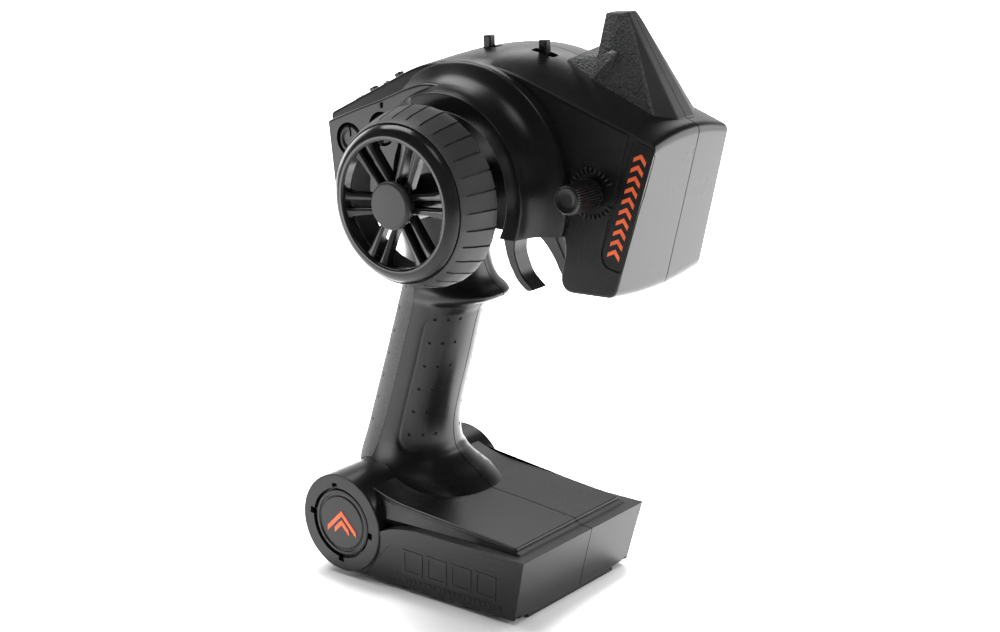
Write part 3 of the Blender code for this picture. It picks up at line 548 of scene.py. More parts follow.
def tail_form():
    outline = rounded([
        (-41.7, 186, 1), (-28, 191.8, 6), (-13.3, 197.4, 6), (-3, 202, 4.5), (6, 205, 4),
        (13, 205.2, 4), (22, 203.4, 2), (24, 186, 3), (8, 172, 3), (8, HEAD_FLOOR, 1),
        (-38.4, HEAD_FLOOR, 1), (-39.9, 169, 4),
    ])
    return slab(outline, TAIL_Y, -20, side_on, 1)


# ---- the grip

# Sections: height, rear x, front x, half width
GRIP_TOP = 155.6
GRIP_SECTIONS = [
    (30, -50, 6, 25), (34.5, -52.5, 2, 24), (38.5, -58, -3.5, 22.5),
    (42, -58.3, -9.5, 20.5), (46, -57.2, -14.2, 19), (52, -55.2, -16.4, 17.6),
    (62, -52.2, -15.8, 16.5), (86, -44.4, -8.8, 16.1), (111, -36.5, -1.2, 15.8),
    (112.6, -36, 2, 16.2), (113.9, -35.6, 6.8, 16.8), (115.3, -35.3, 9.4, 17),
    (117, -34.9, 9.9, 17), (118.4, -34.6, 8.2, 16.8), (120.4, -34.2, 4.9, 16.3),
    (124.5, -33.5, 2, 16), (132.5, -32.4, -0.6, 16.4), (141.5, -34, -2, 18.6),
    (148.5, -36.2, -2.2, 21.5), (GRIP_TOP, -38.6, -2.4, 25),
]
GRIP_SQUARENESS = 2.35
PAD_LOW, PAD_HIGH, PAD_REAR, PAD_DEPTH = 47.5, 109, 0.25, 0.3
STRAP_BOTTOM, STRAP_TOP, STRAP_DEPTH = 39.5, 128, 2


def grip_section(z):
    """(rear, front, half width) at a height, on a smooth curve through the sections."""
    last = len(GRIP_SECTIONS) - 1
    z = min(max(z, GRIP_SECTIONS[0][0]), GRIP_SECTIONS[last][0])
    i = max(k for k in range(last) if GRIP_SECTIONS[k][0] <= z)
    one, two = GRIP_SECTIONS[i], GRIP_SECTIONS[i + 1]
    before, after = GRIP_SECTIONS[max(i - 1, 0)], GRIP_SECTIONS[min(i + 2, last)]
    span = two[0] - one[0]
    t = (z - one[0]) / span
    values = []
    for k in (1, 2, 3):
        slope_one = (two[k] - before[k]) / (two[0] - before[0]) * span
        slope_two = (after[k] - one[k]) / (after[0] - one[0]) * span
        values.append(
            (2 * t ** 3 - 3 * t ** 2 + 1) * one[k] + (t ** 3 - 2 * t ** 2 + t) * slope_one
            + (3 * t ** 2 - 2 * t ** 3) * two[k] + (t ** 3 - t ** 2) * slope_two)
    return values


def grip_point(share, side, z, inset=0):
    """A point of the grip's surface: share is -1 at its rear and 1 at its front, side is -1 on its right."""
    rear, front, half = grip_section(z)
    reach = (front - rear) / 2 - inset
    across = max(0, 1 - abs(share) ** GRIP_SQUARENESS) ** (1 / GRIP_SQUARENESS)
    return Vector(((rear + front) / 2 + reach * share, GRIP_Y + side * (half - inset) * across, z))


def pad_inset(share, z):
    """How far the side pad lies below the grip's skin at a place."""
    corner = 7
    rear, front, _ = grip_section(z)
    along = (share - PAD_REAR) * (front - rear) / 2
    up, down = PAD_HIGH - z, z - PAD_LOW
    edge = min(along, up, down)
    for vertical in (up, down):
        if along < corner and vertical < corner:
            edge = min(edge, corner - hypot(corner - along, corner - vertical))
    groove = 0.22 * max(0, 1 - abs(edge - 0.8) / 0.8)
    return PAD_DEPTH * min(1, max(0, edge / 0.7)) + groove


def grip_form(points=208, inset=0, low=30, high=GRIP_TOP, step=0.9, pads=True):
    """The grip, lofted through fine sections, with its two sunken side pads."""
    count = int((high - low) / step)
    rings = []
    for k in range(count + 1):
        z = low + (high - low) * k / count
        ring = []
        for i in range(points):
            angle = TURN * i / points
            c, s = cos(angle), sin(angle)
            share = copysign(abs(c) ** (2 / GRIP_SQUARENESS), c)
            sunk = pad_inset(share, z) if pads and share > PAD_REAR and PAD_LOW < z < PAD_HIGH else 0
            ring.append(grip_point(share, 1 if s >= 0 else -1, z, inset + sunk))
        rings.append(ring)
    return loft(rings)


def grip_dimples():
    """Small round pits in rows of three on each side pad."""
    pits = []
    for row in range(6):
        z = 106 - 10.1 * row
        for share in (0.52, 0.77, 0.93):
            for side in (-1, 1):
                pits.append(ball(grip_point(share, side, z, PAD_DEPTH - 0.1), 0.72))
    return together(pits)


def strap_zone(clearance):
    outline = rounded([
        (-75, STRAP_BOTTOM - clearance, 0), (-45, STRAP_BOTTOM - clearance, 3.5),
        (-41 + clearance, 48, 5), (-22.6 + clearance, 107, 8), (-19.5 + clearance, 119, 6),
        (-24, STRAP_TOP + clearance, 4), (-75, STRAP_TOP + clearance, 0)])
    zone = slab(outline, -30, 34, side_on)
    core = grip_form(96, STRAP_DEPTH + clearance, step=2, pads=False)
    barrel = crosswise(HEEL_X, HEEL_Z, -50, 50, HEEL_RADIUS + 2 * GAP - clearance, 96)
    return carve(zone, cut=[core, barrel])


def build_strap():
    pits = []
    for row in range(7):
        for side in (-1, 1):
            pits.append(ball(grip_point(-0.6, side, 117.6 - 9.9 * row, -0.1), 0.75))
    strap = carve(strap_zone(0), within=[grip_form(inset=0.15, pads=False)], cut=[together(pits)])
    piece("grip_strap", strap, RUBBER, ["grip_back_strap"])


# ---- the base

SKIRT_TOP, SHELL_BOTTOM, BASE_FRONT = 28.1, 2, 52.3
SKIRT_LEAN = 0.0525                        # how much narrower the skirt is at its foot
LID_HALF_WIDTH, LEDGE = 34.3, 28.5         # the ledge's height, under the plinth's wall
LID_TOP = [
    (44.6, 30.4, 0.9), (21, 32.6, 6), (1, 34, 6), (-12, 35, 4), (-20, 36.4, 4),
    (-27, 38.6, 3), (-33, 41, 3), (-38, 42.7, 2),
]


def leaned(u, v, depth):
    """Side view whose walls lean inwards below the skirt's top."""
    return Vector((u, depth * (1 - SKIRT_LEAN * (SKIRT_TOP - v) / (SKIRT_TOP - SHELL_BOTTOM)), v))


def skirt_form():
    outline = rounded([
        (HEEL_X, SHELL_BOTTOM, 0.5), (46, SHELL_BOTTOM, 1), (BASE_FRONT, SKIRT_TOP, 0.5), (-3.5, 28.4, 6),
        (-13.5, 26.6, 5), (-20.5, 23.6, 3), (-27, 20, 2), (HEEL_X, 20, 1),
    ])
    return slab(outline, -BASE_HALF_WIDTH, BASE_HALF_WIDTH, leaned, 0.45, 0.45)


def lid_form():
    outline = rounded([(44.6, 24, 0), *LID_TOP, (HEEL_X, 43, 1), (HEEL_X, 24, 0)])
    return slab(outline, -LID_HALF_WIDTH, LID_HALF_WIDTH, side_on, 1, 1)


def plinth_form():
    """The sloping wall under the lid's rim, down to a narrow ledge."""
    lowered = [(x, z - 1.6, reach) for x, z, reach in LID_TOP[1:]]
    outline = rounded([
        (46.8, 24, 0), (46.8, LEDGE, 0.3), (44.8, 29.1, 0.3), *lowered, (HEEL_X, 41.3, 1),
        (HEEL_X, 24, 0)])
    top_half = LID_HALF_WIDTH + 0.1
    rings = []
    for side, is_foot in ((-1, True), (-1, False), (1, False), (1, True)):
        ring = []
        for p in outline:
            splay = 0.3 + 0.28 * min(8, max(0, p.y - LEDGE)) if is_foot else 0
            ring.append(Vector((p.x, side * (top_half + splay), min(p.y, LEDGE) if is_foot else p.y)))
        rings.append(ring)
    return loft(rings)


def barrel_form():
    profile = soft_profile([
        (0, -BASE_HALF_WIDTH, 0), (HEEL_RADIUS, -BASE_HALF_WIDTH, 0.7), (HEEL_RADIUS, BASE_HALF_WIDTH, 0.7),
        (0, BASE_HALF_WIDTH, 0),
    ])
    return turned(profile, (HEEL_X, 0, HEEL_Z), (0, 1, 0), 144)


def cap_seat(side):
    """The round recess in the end of the barrel, with its four square notches."""
    seat = crosswise(HEEL_X, HEEL_Z, side * 36.8, side * 50, CAP_RECESS_RADIUS, 96)
    notches = []
    for degrees in (100, 172, 268, 352):
        notch = box((CAP_RECESS_RADIUS - 2, -50, -1.4), (CAP_RECESS_RADIUS + 1.9, 50, 1.4))
        turn = Matrix.Rotation(-radians(degrees), 4, "Y")
        notches.append(placed(notch, Matrix.Translation((HEEL_X, side * 87.8, HEEL_Z)) @ turn))
    return carve(seat, notches)


# ---- the casing

def wall_place(u, v, depth):
    """A place on the head's right wall, with depth outwards."""
    return Vector((u, -head_half_width(u, v) - depth, v))


def panel_place(along, across, out=0):
    """A place on the sloping rear control panel."""
    c, s = cos(PANEL_SLOPE), sin(PANEL_SLOPE)
    return Vector((PANEL_X + along * c - out * s, across, PANEL_Z + along * s + out * c))


BADGE = [(90.3, 191, 1.5), (97.2, 188.8, 1.5), (98.6, 186.9, 1.5), (87.6, 145.2, 0.8), (86.6, 143.6, 0.8),
         (80.4, 144.9, 2.2), (78.9, 149.3, 2)]


def hollows():
    """The spaces inside the casing and every opening in its skin."""
    inner = inward([Vector((c[0], c[1], c[3])) for c in HEAD_CORNERS], WALL)
    rings = []
    for share in (-1, -0.5, 0, 0.5, 1):
        crown = 1 - share * share
        rings.append([
            Vector((p.x, share * (head_half_width(p.x, p.y) - WALL), p.y + p.z * crown)) for p in inner])
    made = [
        loft(rings),
        grip_form(72, 4.3, 34, GRIP_TOP, 3, False),
        box((HEEL_X, -35.5, SHELL_BOTTOM + 3), (BASE_FRONT - 8.5, 35.5, 25.4)),
        box((HEEL_X + 4, -30, 20), (41.4, 30, 28)),
        crosswise(HEEL_X, HEEL_Z, -35.5, 35.5, HEEL_RADIUS - WALL, 60),
        crosswise(WHEEL_X, WHEEL_Z, -18, POD_WELL_Y + WALL, 37.5, 72),
        box((-37, POD_WELL_Y + WALL, HEAD_FLOOR + 4), (0, -18, 184)),
        crosswise(WHEEL_X, WHEEL_Z, -60, POD_WELL_Y, POD_WELL_RADIUS - 0.3, 96),
        strap_zone(GAP),
        box((3, -4, 140), (58.5, 8, HEAD_FLOOR + 5)),
        box((52, -6, 137.5), (68, 10, HEAD_FLOOR + 6)),
        box((-24, -28.8, -1), (44, 28.8, 8)),
        slab(rectangle(-17.3, -25.3, 17.3, 25.3, 2), -PANEL_THICKNESS - GAP, 6, panel_place),
        slab(rectangle(-14.5, -22.5, 14.5, 22.5, 1), -8, 3, panel_place),
        cap_seat(-1),
        cap_seat(1),
    ]
    for x, y in ROOF_LEVERS.values():
        made.append(slab(rectangle(x - 5.2, y - 2.1, x + 5.2, y + 2.1, 1.2), 205, 222, plan))
    for side in (-1, 1):
        made.append(box((45, side * 35.6 - 1.6, 0), (60, side * 35.6 + 1.6, 3.6)))
    return made


def screw_wall(x, z):
    if z > HEAD_FLOOR - 20:
        return head_half_width(x, z)
    return 17.4 if z > SKIRT_TOP else 39


def beyond_seam(side, gap):
    """A block that fills the far side of the seam, and half of a gap at it, as seen from one side."""
    low, high = sorted((SEAM_Y + side * gap / 2, -side * 120))
    return box((-150, low, -50), (150, high, 300))


def build_casing():
    forms = [pod_form(), tail_form(), grip_form(), skirt_form(), barrel_form(), lid_form(), plinth_form()]
    whole = carve(head_form(), forms, [grip_dimples(), *hollows()])
    for side, name, fittings in ((-1, "case_right", right_fittings), (1, "case_left", left_fittings)):
        shell = carve_in_turn(whole.copy(), [("DIFFERENCE", beyond_seam(side, SEAM_GAP)), *fittings()])
        piece(name + "_shell", shell, CASE, [name])
    whole.free()


def right_fittings():
    """Steps for the bush, the rate knob's bore, the badge's seat, the skirt's recess and the dial wells."""
    centre = (WHEEL_X, 0, WHEEL_Z)
    bush = soft_profile([(0, 27.6, 0), (10, 27.6, 0), (10, 39.2, 1.2), (0, 39.2, 0)])
    seat = rounded([
        (89.9, 200, 1), (110, 200, 1), (95, 141.6, 1), (80.2, 144.4, 2.6), (78.5, 149.3, 2.4)])
    cut = [
        crosswise(WHEEL_X, WHEEL_Z, -48, -20, 6.8, 48),
        rod(KNOB_BASE + KNOB_AXIS * 6, KNOB_BASE - KNOB_AXIS * 8, 3.5, 32),
        slab(seat, -0.5, 4, wall_place),
        slab(inward(rounded(BADGE), -0.2), -1.5, 4, wall_place),
        recess_form(),
    ]
    for x, z in DIALS.values():
        well = soft_profile([
            (0, 4.5, 0), (6.5, 4.5, 0), (6.5, -0.3, 0.5), (7.4, -0.5, 0), (7.4, -9, 0),
            (0, -9, 0)])
        cut.append(turned(well, (x, TAIL_Y, z), (0, 1, 0), 64))
    return [("UNION", turned(bush, centre, (0, -1, 0), 48)), *(("DIFFERENCE", shape) for shape in cut)]


def left_fittings():
    """Steps for each screw's boss, its bore and its well, and for the skirt's recess."""
    steps = []
    for x, z in SCREW_PLACES:
        wall = screw_wall(x, z)
        steps.append(("UNION", crosswise(x, z, SEAM_Y + 0.2, wall - 1.4, 4.4, 36)))
        steps.append(("DIFFERENCE", crosswise(x, z, SEAM_Y - 1, 60, 1.6, 20)))
        steps.append(("DIFFERENCE", crosswise(x, z, wall - 4.2, 60, 3.2, 36)))
    return [*steps, ("DIFFERENCE", mirrored(recess_form()))]


def recess_form():
    """The shallow panel sunk into the skirt's side, bounded by a curve round the barrel."""
    outline = rounded([
        (-34, -2, 1), (-27.8, 5, 4), (-22.6, 11.2, 3.5), (-17.6, 17, 3.5), (-13, 20.6, 2.5),
        (-7, 21.8, 3), (58, 22.2, 1), (58, -2, 1)])
    return slab(outline, -44, -BASE_HALF_WIDTH + 0.5, leaned)


# ---- covers and marks on the casing

def chevron(half_width, rise, foot, thickness):
    """The corners of an upward chevron whose arms end at a height called its foot."""
    tip = foot + rise
    return [(-half_width, foot), (0, tip), (half_width, foot), (half_width, foot + thickness),
            (0, tip + thickness), (-half_width, foot + thickness)]


def build_badge():
    plate = slab(rounded(BADGE), -1.4, -0.42, wall_place, 0, 0.12)
    piece("badge_plate", plate, GLOSS, ["side_badge"])
    top, foot = Vector((93.2, 184.4)), Vector((84, 149.6))
    up = (top - foot).normalized()
    across = Vector((up.y, -up.x))
    marks = []
    count = 10
    for i in range(count):
        middle = foot + (top - foot) * (i / (count - 1))
        corners = [middle + across * u + up * v for u, v in chevron(2.5, 2.1, -1.75, 1.7)]
        marks.append(slab([Vector((c.x, c.y, 0)) for c in corners], -0.6, -0.25, wall_place))
    piece("badge_chevrons", together(marks), ORANGE)


def build_marks():
    """Raised scale marks round the knob, beside the levers and by the trim dials."""
    ticks = []
    for i in range(25):
        tick = bevelled(box((7.5, -0.18, -0.9), (9.6 if i % 6 == 0 else 9.1, 0.18, 0.22)), 0.08, 1)
        turn = Matrix.Rotation(radians(300 * i / 24 - 60), 4, "Z")
        ticks.append(placed(tick, facing(KNOB_BASE, KNOB_AXIS) @ turn))
    for (x, z), degrees in zip(DIALS.values(), (90, -90)):
        tick = box((7.9, -1.2, -0.22), (10, 0.6, 0.22))
        turn = Matrix.Rotation(radians(degrees), 4, "Y")
        ticks.append(placed(tick, Matrix.Translation((x, TAIL_Y + 0.4, z)) @ turn))
    for x in (3, 4.3, 5.6, 6.9, 8.2, 31.5, 32.8, 34.1):
        z = roof_height(x, -head_half_width(x, 212)) - 2.3
        half = head_half_width(x, z)
        ticks.append(box((x - 0.28, -half - 0.16, z - 0.8), (x + 0.28, -half + 1, z + 0.8)))
    for along in (-13, -11.5, -10, 3, 4.5):
        tick = box((-0.3, -0.9, -0.6), (0.3, 0.9, 0.18))
        matrix = Matrix.Translation(panel_place(along, -26.6, 1)) @ Matrix.Rotation(-PANEL_SLOPE, 4, "Y")
        ticks.append(placed(tick, matrix))
    piece("scale_marks", together(ticks), MARK)


def build_relief():
    """Generic raised frames on the sunken side of the skirt, over a line of small ticks."""
    buried, frames, ticks = -39.2, -39.72, -39.7
    for name in ("relief_right", "relief_left"):
        shapes = []
        for i in range(4):
            low = -9.5 + 12.2 * i
            outer = [Vector((low + u, v, 0)) for u, v in ((0, 8.6), (10.2, 8.3), (11.2, 18.6), (1, 18.9))]
            middle = sum(outer, Vector()) / 4
            inner = [middle.lerp(corner, 0.78) for corner in outer]
            for j in range(4):
                k = (j + 1) % 4
                shapes.append(slab([outer[j], outer[k], inner[k], inner[j]], frames, buried, leaned))
        for i in range(20):
            low = -9.5 + 2.5 * i
            shapes.append(slab(rectangle(low, 4.6, low + 1.5, 6.6, 0.2), ticks, buried, leaned))
        shape = together(shapes)
        piece(name, mirrored(shape) if name == "relief_left" else shape, CASE)


def build_heel_caps():
    profile = soft_profile([
        (0, 2.35, 0), (10.9, 2.35, 0.3), (11.3, 1.9, 0.3), (12, 1.9, 0.3), (12.4, 2.5, 0.3),
        (CAP_RADIUS, 2.3, 0.4), (CAP_RADIUS, 0, 0), (0, 0, 0)])
    for side, name in ((-1, "right"), (1, "left")):
        origin = (HEEL_X, side * 37.1, HEEL_Z)
        disc_shape = turned(profile, origin, (0, side, 0), 96)
        piece("heel_disc_" + name, disc_shape, CASE, ["heel_cap_" + name])
        marks = []
        for reach in (3.8, 7.6):
            outline = [Vector((HEEL_X + u, HEEL_Z + v, 0)) for u, v in chevron(reach, reach, -4.8, 2.2)]
            low, high = sorted((side * 39.2, side * 39.75))
            marks.append(slab(outline, low, high, side_on))
        piece("heel_mark_" + name, together(marks), ORANGE)


# ---- antenna fin

def hull(points):
    """The convex shape round some points, given on one side of the seam's plane and repeated on the other."""
    shape = bmesh.new()
    made = [shape.verts.new((x, SEAM_Y + side * y, z)) for side in (-1, 1) for x, y, z in points]
    result = bmesh.ops.convex_hull(shape, input=made)
    unused = result["geom_unused"] + result["geom_interior"]
    loose = {item for item in unused if isinstance(item, bmesh.types.BMVert)}
    bmesh.ops.delete(shape, geom=list(loose), context="VERTS")
    return shape


def build_fin():
    blade = [
        (60.4, 3.2, 230.1), (70, 2.9, 231), (93.6, 5.2, 194.6), (90.5, 5.4, 186), (86, 13.4, 186),
        (61, 13.6, 186), (88, 13, 196.5), (61.6, 13.4, 207), (61.2, 6, 219),
    ]
    ramp = [
        (47, 9.4, 212.6), (48, 9.4, 196), (62, 13.4, 207.4), (62, 13.4, 196), (61.3, 6, 219.2),
        (70, 9.6, 217.2),
    ]
    form = carve(bevelled(hull(blade), 0.7, 3, 20), [bevelled(hull(ramp), 0.5, 2, 20)], [
        rod((80, SEAM_Y, 196), (66, SEAM_Y, 227.5), 2, 32),
        box((0, -60, 100), (120, 60, 190.5)),
    ])
    for side, name in ((-1, "fin_right"), (1, "fin_left")):
        half = carve(form.copy(), cut=[beyond_seam(side, GAP)])
        bmesh.ops.recalc_face_normals(half, faces=half.faces)
        for face in half.faces:
            flank = abs(face.normal.y) > 0.55 and face.calc_center_median().z > 191
            face.material_index = 1 if flank else 0
        piece(name + "_skin", half, [SATIN, SPARKLE], [name], sharp=18)
    form.free()


# ---- steering wheel

def wheel_place(angle, radius, across, height):
    """A place on the wheel: across is sideways of the spoke at an angle, height is outwards from the face."""
    c, s = cos(angle), sin(angle)
    x, z = WHEEL_X + radius * c - across * s, WHEEL_Z + radius * s + across * c
    return Vector((x, WHEEL_FACE_Y - height, z))


def half_spoke(angle, side):
    """One arm of a split spoke, dished towards the hub, rounded along its edges and flared at the ring."""
    rings = []
    for k in range(13):
        t = k / 12
        radius = 6.5 + 17.6 * t
        face = 0.3 + 1.5 * t
        flare = 1.4 * max(0, (t - 0.72) / 0.28) ** 2
        inner, outer = 1.4 + 0.2 * t - flare * 0.2, 3.5 + 1.1 * t + flare
        section = [(inner, face - 3.6), (inner, face - 0.45), (inner + 0.4, face - 0.02),
                   (inner + 0.9, face + 0.1), (outer - 0.8, face), (outer - 0.2, face - 0.25),
                   (outer, face - 0.8), (outer, face - 3.6)]
        rings.append([wheel_place(angle, radius, side * u, v) for u, v in section])
    return loft(rings)


def build_wheel():
    centre = Vector((WHEEL_X, WHEEL_FACE_Y, WHEEL_Z))
    axis = (0, -1, 0)
    ring = soft_profile([
        (27.6, -15.4, 0), (25.8, -15.4, 0.3), (25.2, -4.6, 0.6), (23.1, -1.8, 0.6), (23.1, 2.5, 0.35),
        (23.7, 2.9, 0.3), (25.4, 2.95, 1.4), (27.7, 1.6, 2), (28.6, -0.2, 0.6), (28.6, -1.2, 0.2),
        (27.6, -1.6, 0),
    ])
    hub = soft_profile([
        (0, -19.2, 0), (8, -19.2, 0.3), (8, 0.2, 0.6), (6.4, 0.6, 0.3), (6.4, 1.4, 0.3), (0, 1.4, 0)])
    arms = [half_spoke(radians(60 * pair + SPOKE_TURN), side) for pair in range(6) for side in (-1, 1)]
    bore = crosswise(WHEEL_X, WHEEL_Z, -66, -40, 3.3, 40)
    rim = carve(turned(ring, centre, axis, 160), [turned(hub, centre, axis, 72), *arms], [bore])
    # Painted shade: the inner walls of the ring's barrel, behind its face, take the darker matt plastic, which
    # darkens the hollow seen between the spokes.
    for face in rim.faces:
        middle = face.calc_center_median() - centre
        if middle.y > 1.8 and abs(face.normal.y) < 0.6 and hypot(middle.x, middle.z) > 8.5:
            face.material_index = 1
    piece("spoked_rim", rim, [GLOSS, MATT], ["wheel_rim"], "steering_wheel", 38)
    cap = soft_profile([(0, 4.25, 0), (8.1, 4.15, 0.6), (8.8, 3.5, 0.4), (8.8, 2, 0.3), (0, 2, 0)])
    piece("hub_cap", turned(cap, centre, axis, 96), SATIN, ["wheel_cap"], "steering_wheel")
    build_tyre(centre)


TYRE_FRONT = [(-0.5, 28.95), (-0.7, 29.4), (-5.4, 31.3), (-13.4, TYRE_RADIUS), (-20, TYRE_RADIUS)]


def tyre_radius(height):
    """The tyre's outer radius at a height on the wheel's axis."""
    for one, two in zip(TYRE_FRONT, TYRE_FRONT[1:]):
        if height >= two[0]:
            share = (height - one[0]) / (two[0] - one[0])
            return one[1] + (two[1] - one[1]) * share
    return TYRE_RADIUS


def build_tyre(centre):
    """A faceted rubber band: thirty flats with a narrow groove between each two."""
    flats, points = 30, 360
    levels = [(27.9, -16, 0), (TYRE_RADIUS - 0.6, -16, 1), (TYRE_RADIUS, -15.4, 1)]
    for height in (-13.4, -11, -8, -5.4, -3.4, -1.8):
        levels.append((tyre_radius(height), height, min(1, -height / 5)))
    levels += [(29.35, -0.8, 0.1), (29.1, -0.5, 0), (28.9, -0.55, 0), (28.9, -1.5, 0), (27.9, -1.95, 0)]
    rows = []
    for radius, height, flat in levels:
        row = []
        for i in range(points):
            angle = TURN * i / points
            within = (angle % (TURN / flats)) - pi / flats
            chord = cos(pi / flats) / cos(within)
            row.append(wheel_place(angle, radius * (1 - flat + flat * chord), 0, height))
        rows.append(row)
    shape = bmesh.new()
    made = [[shape.verts.new(point) for point in row] for row in rows]
    skin(shape, made + made[:1])
    grooves = []
    for i in range(flats):
        angle = TURN * i / flats
        rings = []
        for height, half, depth in ((-20, 0.42, 0.8), (-9, 0.42, 0.8), (-3.4, 0.42, 0.7), (-2.7, 0.3, 0.5),
                                    (-2.5, 0.12, 0.2)):
            base = tyre_radius(height)
            corners = [(-half, base - depth), (half, base - depth), (half, base + 2), (-half, base + 2)]
            rings.append([wheel_place(angle, v, u, height) for u, v in corners])
        grooves.append(loft(rings))
    tyre = carve(shape, cut=[together(grooves)])
    piece("grooved_tyre", tyre, FOAM, ["wheel_tyre"], "steering_wheel", 25)


# ---- trigger

def build_trigger():
    outline = rounded([
        (28.5, 166, 1), (13.4, 157, 3), (13.9, 148, 3), (15, 140.6, 3.5), (17.2, 132.2, 3.5),
        (21.4, 124.9, 3), (26.4, 121.2, 1.2), (29.8, 122.3, 0.7), (23.8, 127, 3), (20.2, 135.2, 3.5),
        (20.8, 141.2, 3), (24.8, 146, 2.6), (30.2, 145.2, 2.2), (34.8, 142.2, 2.6), (39.4, 136.6, 2.8),
        (42.2, 131.2, 1.4), (44, 129.6, 0.8), (46, 131.2, 0.9), (44.6, 137, 2.8), (41, 143.4, 3),
        (38.4, 150, 3), (38.5, 164, 2),
    ])
    half = TRIGGER_WIDTH / 2
    blade = slab(outline, GRIP_Y - half, GRIP_Y + half, side_on, 0.4, 0.4)
    reach = half + 0.6
    boss = soft_profile([(0, -reach, 0), (5.6, -reach, 0.5), (5.6, reach, 0.5), (0, reach, 0)])
    boss_shape = turned(boss, (33, GRIP_Y, 164), (0, 1, 0), 48)
    shape = carve(blade, [boss_shape], [crosswise(33, 164, -30, 30, 2.3, 32)])
    piece("trigger_blade", shape, CASE, ["trigger"], "throttle_trigger")


# ---- knob, dials and levers

def build_rate_knob():
    """A knurled knob with a dished end."""
    ribs, per_rib = 36, 6
    matrix = facing(KNOB_BASE, KNOB_AXIS)
    rings = []
    levels = [(1, KNOB_RADIUS, 0), (1.5, KNOB_RADIUS, 0.25), (2.2, KNOB_RADIUS, 0.42),
              (KNOB_LENGTH - 1.6, KNOB_RADIUS * 0.965, 0.42), (KNOB_LENGTH - 0.7, KNOB_RADIUS * 0.93, 0.25),
              (KNOB_LENGTH - 0.1, KNOB_RADIUS * 0.84, 0), (KNOB_LENGTH, KNOB_RADIUS * 0.78, 0),
              (KNOB_LENGTH - 0.15, KNOB_RADIUS * 0.7, 0), (KNOB_LENGTH - 0.7, KNOB_RADIUS * 0.35, 0)]
    for height, radius, depth in levels:
        ring = []
        for i in range(ribs * per_rib):
            angle = TURN * i / (ribs * per_rib)
            wave = 0.5 - 0.5 * cos(angle * ribs)
            reach = radius - depth * wave ** 0.6
            ring.append(matrix @ Vector((reach * cos(angle), reach * sin(angle), height)))
        rings.append(ring)
    stem = rod(KNOB_BASE + KNOB_AXIS * 3, KNOB_BASE - KNOB_AXIS * 4, 2.2, 32)
    knob = carve(loft(rings), [stem])
    piece("knurled_knob", knob, CASE, ["rate_knob"], "rate_knob_body", 45)


def build_trim_dials():
    profile = soft_profile([
        (0, 3.5, 0), (3.2, 3.5, 0.4), (4.4, 4, 0.4), (5.6, 3.7, 0.5), (5.9, 2.8, 0.4), (5.9, 0, 0),
        (0, 0, 0)])
    for name, (x, z) in DIALS.items():
        pointer = box((x - 0.45, TAIL_Y - 2, z + 1), (x + 0.45, TAIL_Y + 1.6, z + 7))
        flutes = []
        for p in disc(6.15, 24, x, z):
            flutes.append(crosswise(p.x, p.y, TAIL_Y - 2, TAIL_Y + 6, 0.5, 10))
        dial = turned(profile, (x, TAIL_Y + 4.2, z), (0, -1, 0), 96)
        dial = carve(dial, cut=[pointer, together(flutes)])
        piece(name + "_fluted", dial, CASE, [name], name.replace("_trim", ""))


def build_levers():
    for name, (x, y) in ROOF_LEVERS.items():
        top = roof_height(x, y)
        stub = slab(rectangle(x - 1.7, y - 1.6, x + 1.7, y + 1.6, 0.5), top - 8, top + 4.4, plan, 0, 0.45)
        foot = box((x - 3.2, y - 3.2, top - 9.2), (x + 3.2, y + 3.2, top - 7))
        grooves = [box((x + k - 0.16, y - 2, top + 4.15), (x + k + 0.16, y + 2, top + 6))
                   for k in (-0.95, 0, 0.95)]
        body = name.replace("lever", "stick")
        piece(name + "_stub", carve(stub, [foot], [together(grooves)]), CASE, [name], body)
    y = PANEL_LEVER_ACROSS
    for name, x in PANEL_LEVERS.items():
        stub = slab(rectangle(x - 1.4, y - 1.4, x + 1.4, y + 1.4, 0.4), -4, 3.6, panel_place, 0, 0.4)
        foot = slab(rectangle(x - 1.8, y - 1.6, x + 1.8, y + 1.6, 0.2), -4.6, -2.4, panel_place)
        body = name.replace("_lever", "")
        piece(name + "_stub", carve(stub, [foot]), CASE, [name], body)


def build_panel():
    """The sloping control panel with its slots, and a raised bezel and ticks at each."""
    half_length, half_width = PANEL_LENGTH / 2, PANEL_WIDTH / 2
    plate = slab(rectangle(-half_length, -half_width, half_length, half_width, 1.8), -PANEL_THICKNESS, 0,
                 panel_place, 0, 0.35)
    lever_y = PANEL_LEVER_ACROSS
    steering_x, throttle_x = PANEL_LEVERS["steering_trim_lever"], PANEL_LEVERS["throttle_trim_lever"]
    holes = []
    for x, y, length, width in ((steering_x, lever_y, 1.7, 3.7), (throttle_x, lever_y, 3.7, 1.7),
                                (-8.9, 6, 4.5, 2.2), (6, 4, 2.1, 3.4), (6, 14, 2.1, 3.4)):
        holes.append((rectangle(x - length, y - width, x + length, y + width, 0.5), 1.1, 0.35))
    for x, y, radius in ((-9, 17, 2.9), (12, -5, 1.9), (12, -11, 1.9)):
        holes.append((disc(radius, 40, x, y), 0.9, 0.3))
    openings, trim = [], []
    for hole, margin, rise in holes:
        openings.append(slab(hole, -6, 4, panel_place))
        bezel = slab(inward(hole, -margin), -0.1, rise, panel_place, 0, 0.15)
        trim.append(carve(bezel, cut=[slab(inward(hole, -0.15), -3, 4, panel_place)]))
    piece("control_panel", carve(plate, cut=openings), GLOSS, ["rear_panel"])
    for k in range(5):
        y, x = lever_y - 3 + 1.5 * k, throttle_x - 3 + 1.5 * k
        for tick in (rectangle(steering_x + 3.2, y - 0.15, steering_x + 4.8, y + 0.15, 0.05),
                     rectangle(x - 0.15, lever_y + 3.2, x + 0.15, lever_y + 4.8, 0.05)):
            trim.append(slab(tick, -0.1, 0.12, panel_place))
    piece("panel_bezels", together(trim), SATIN)


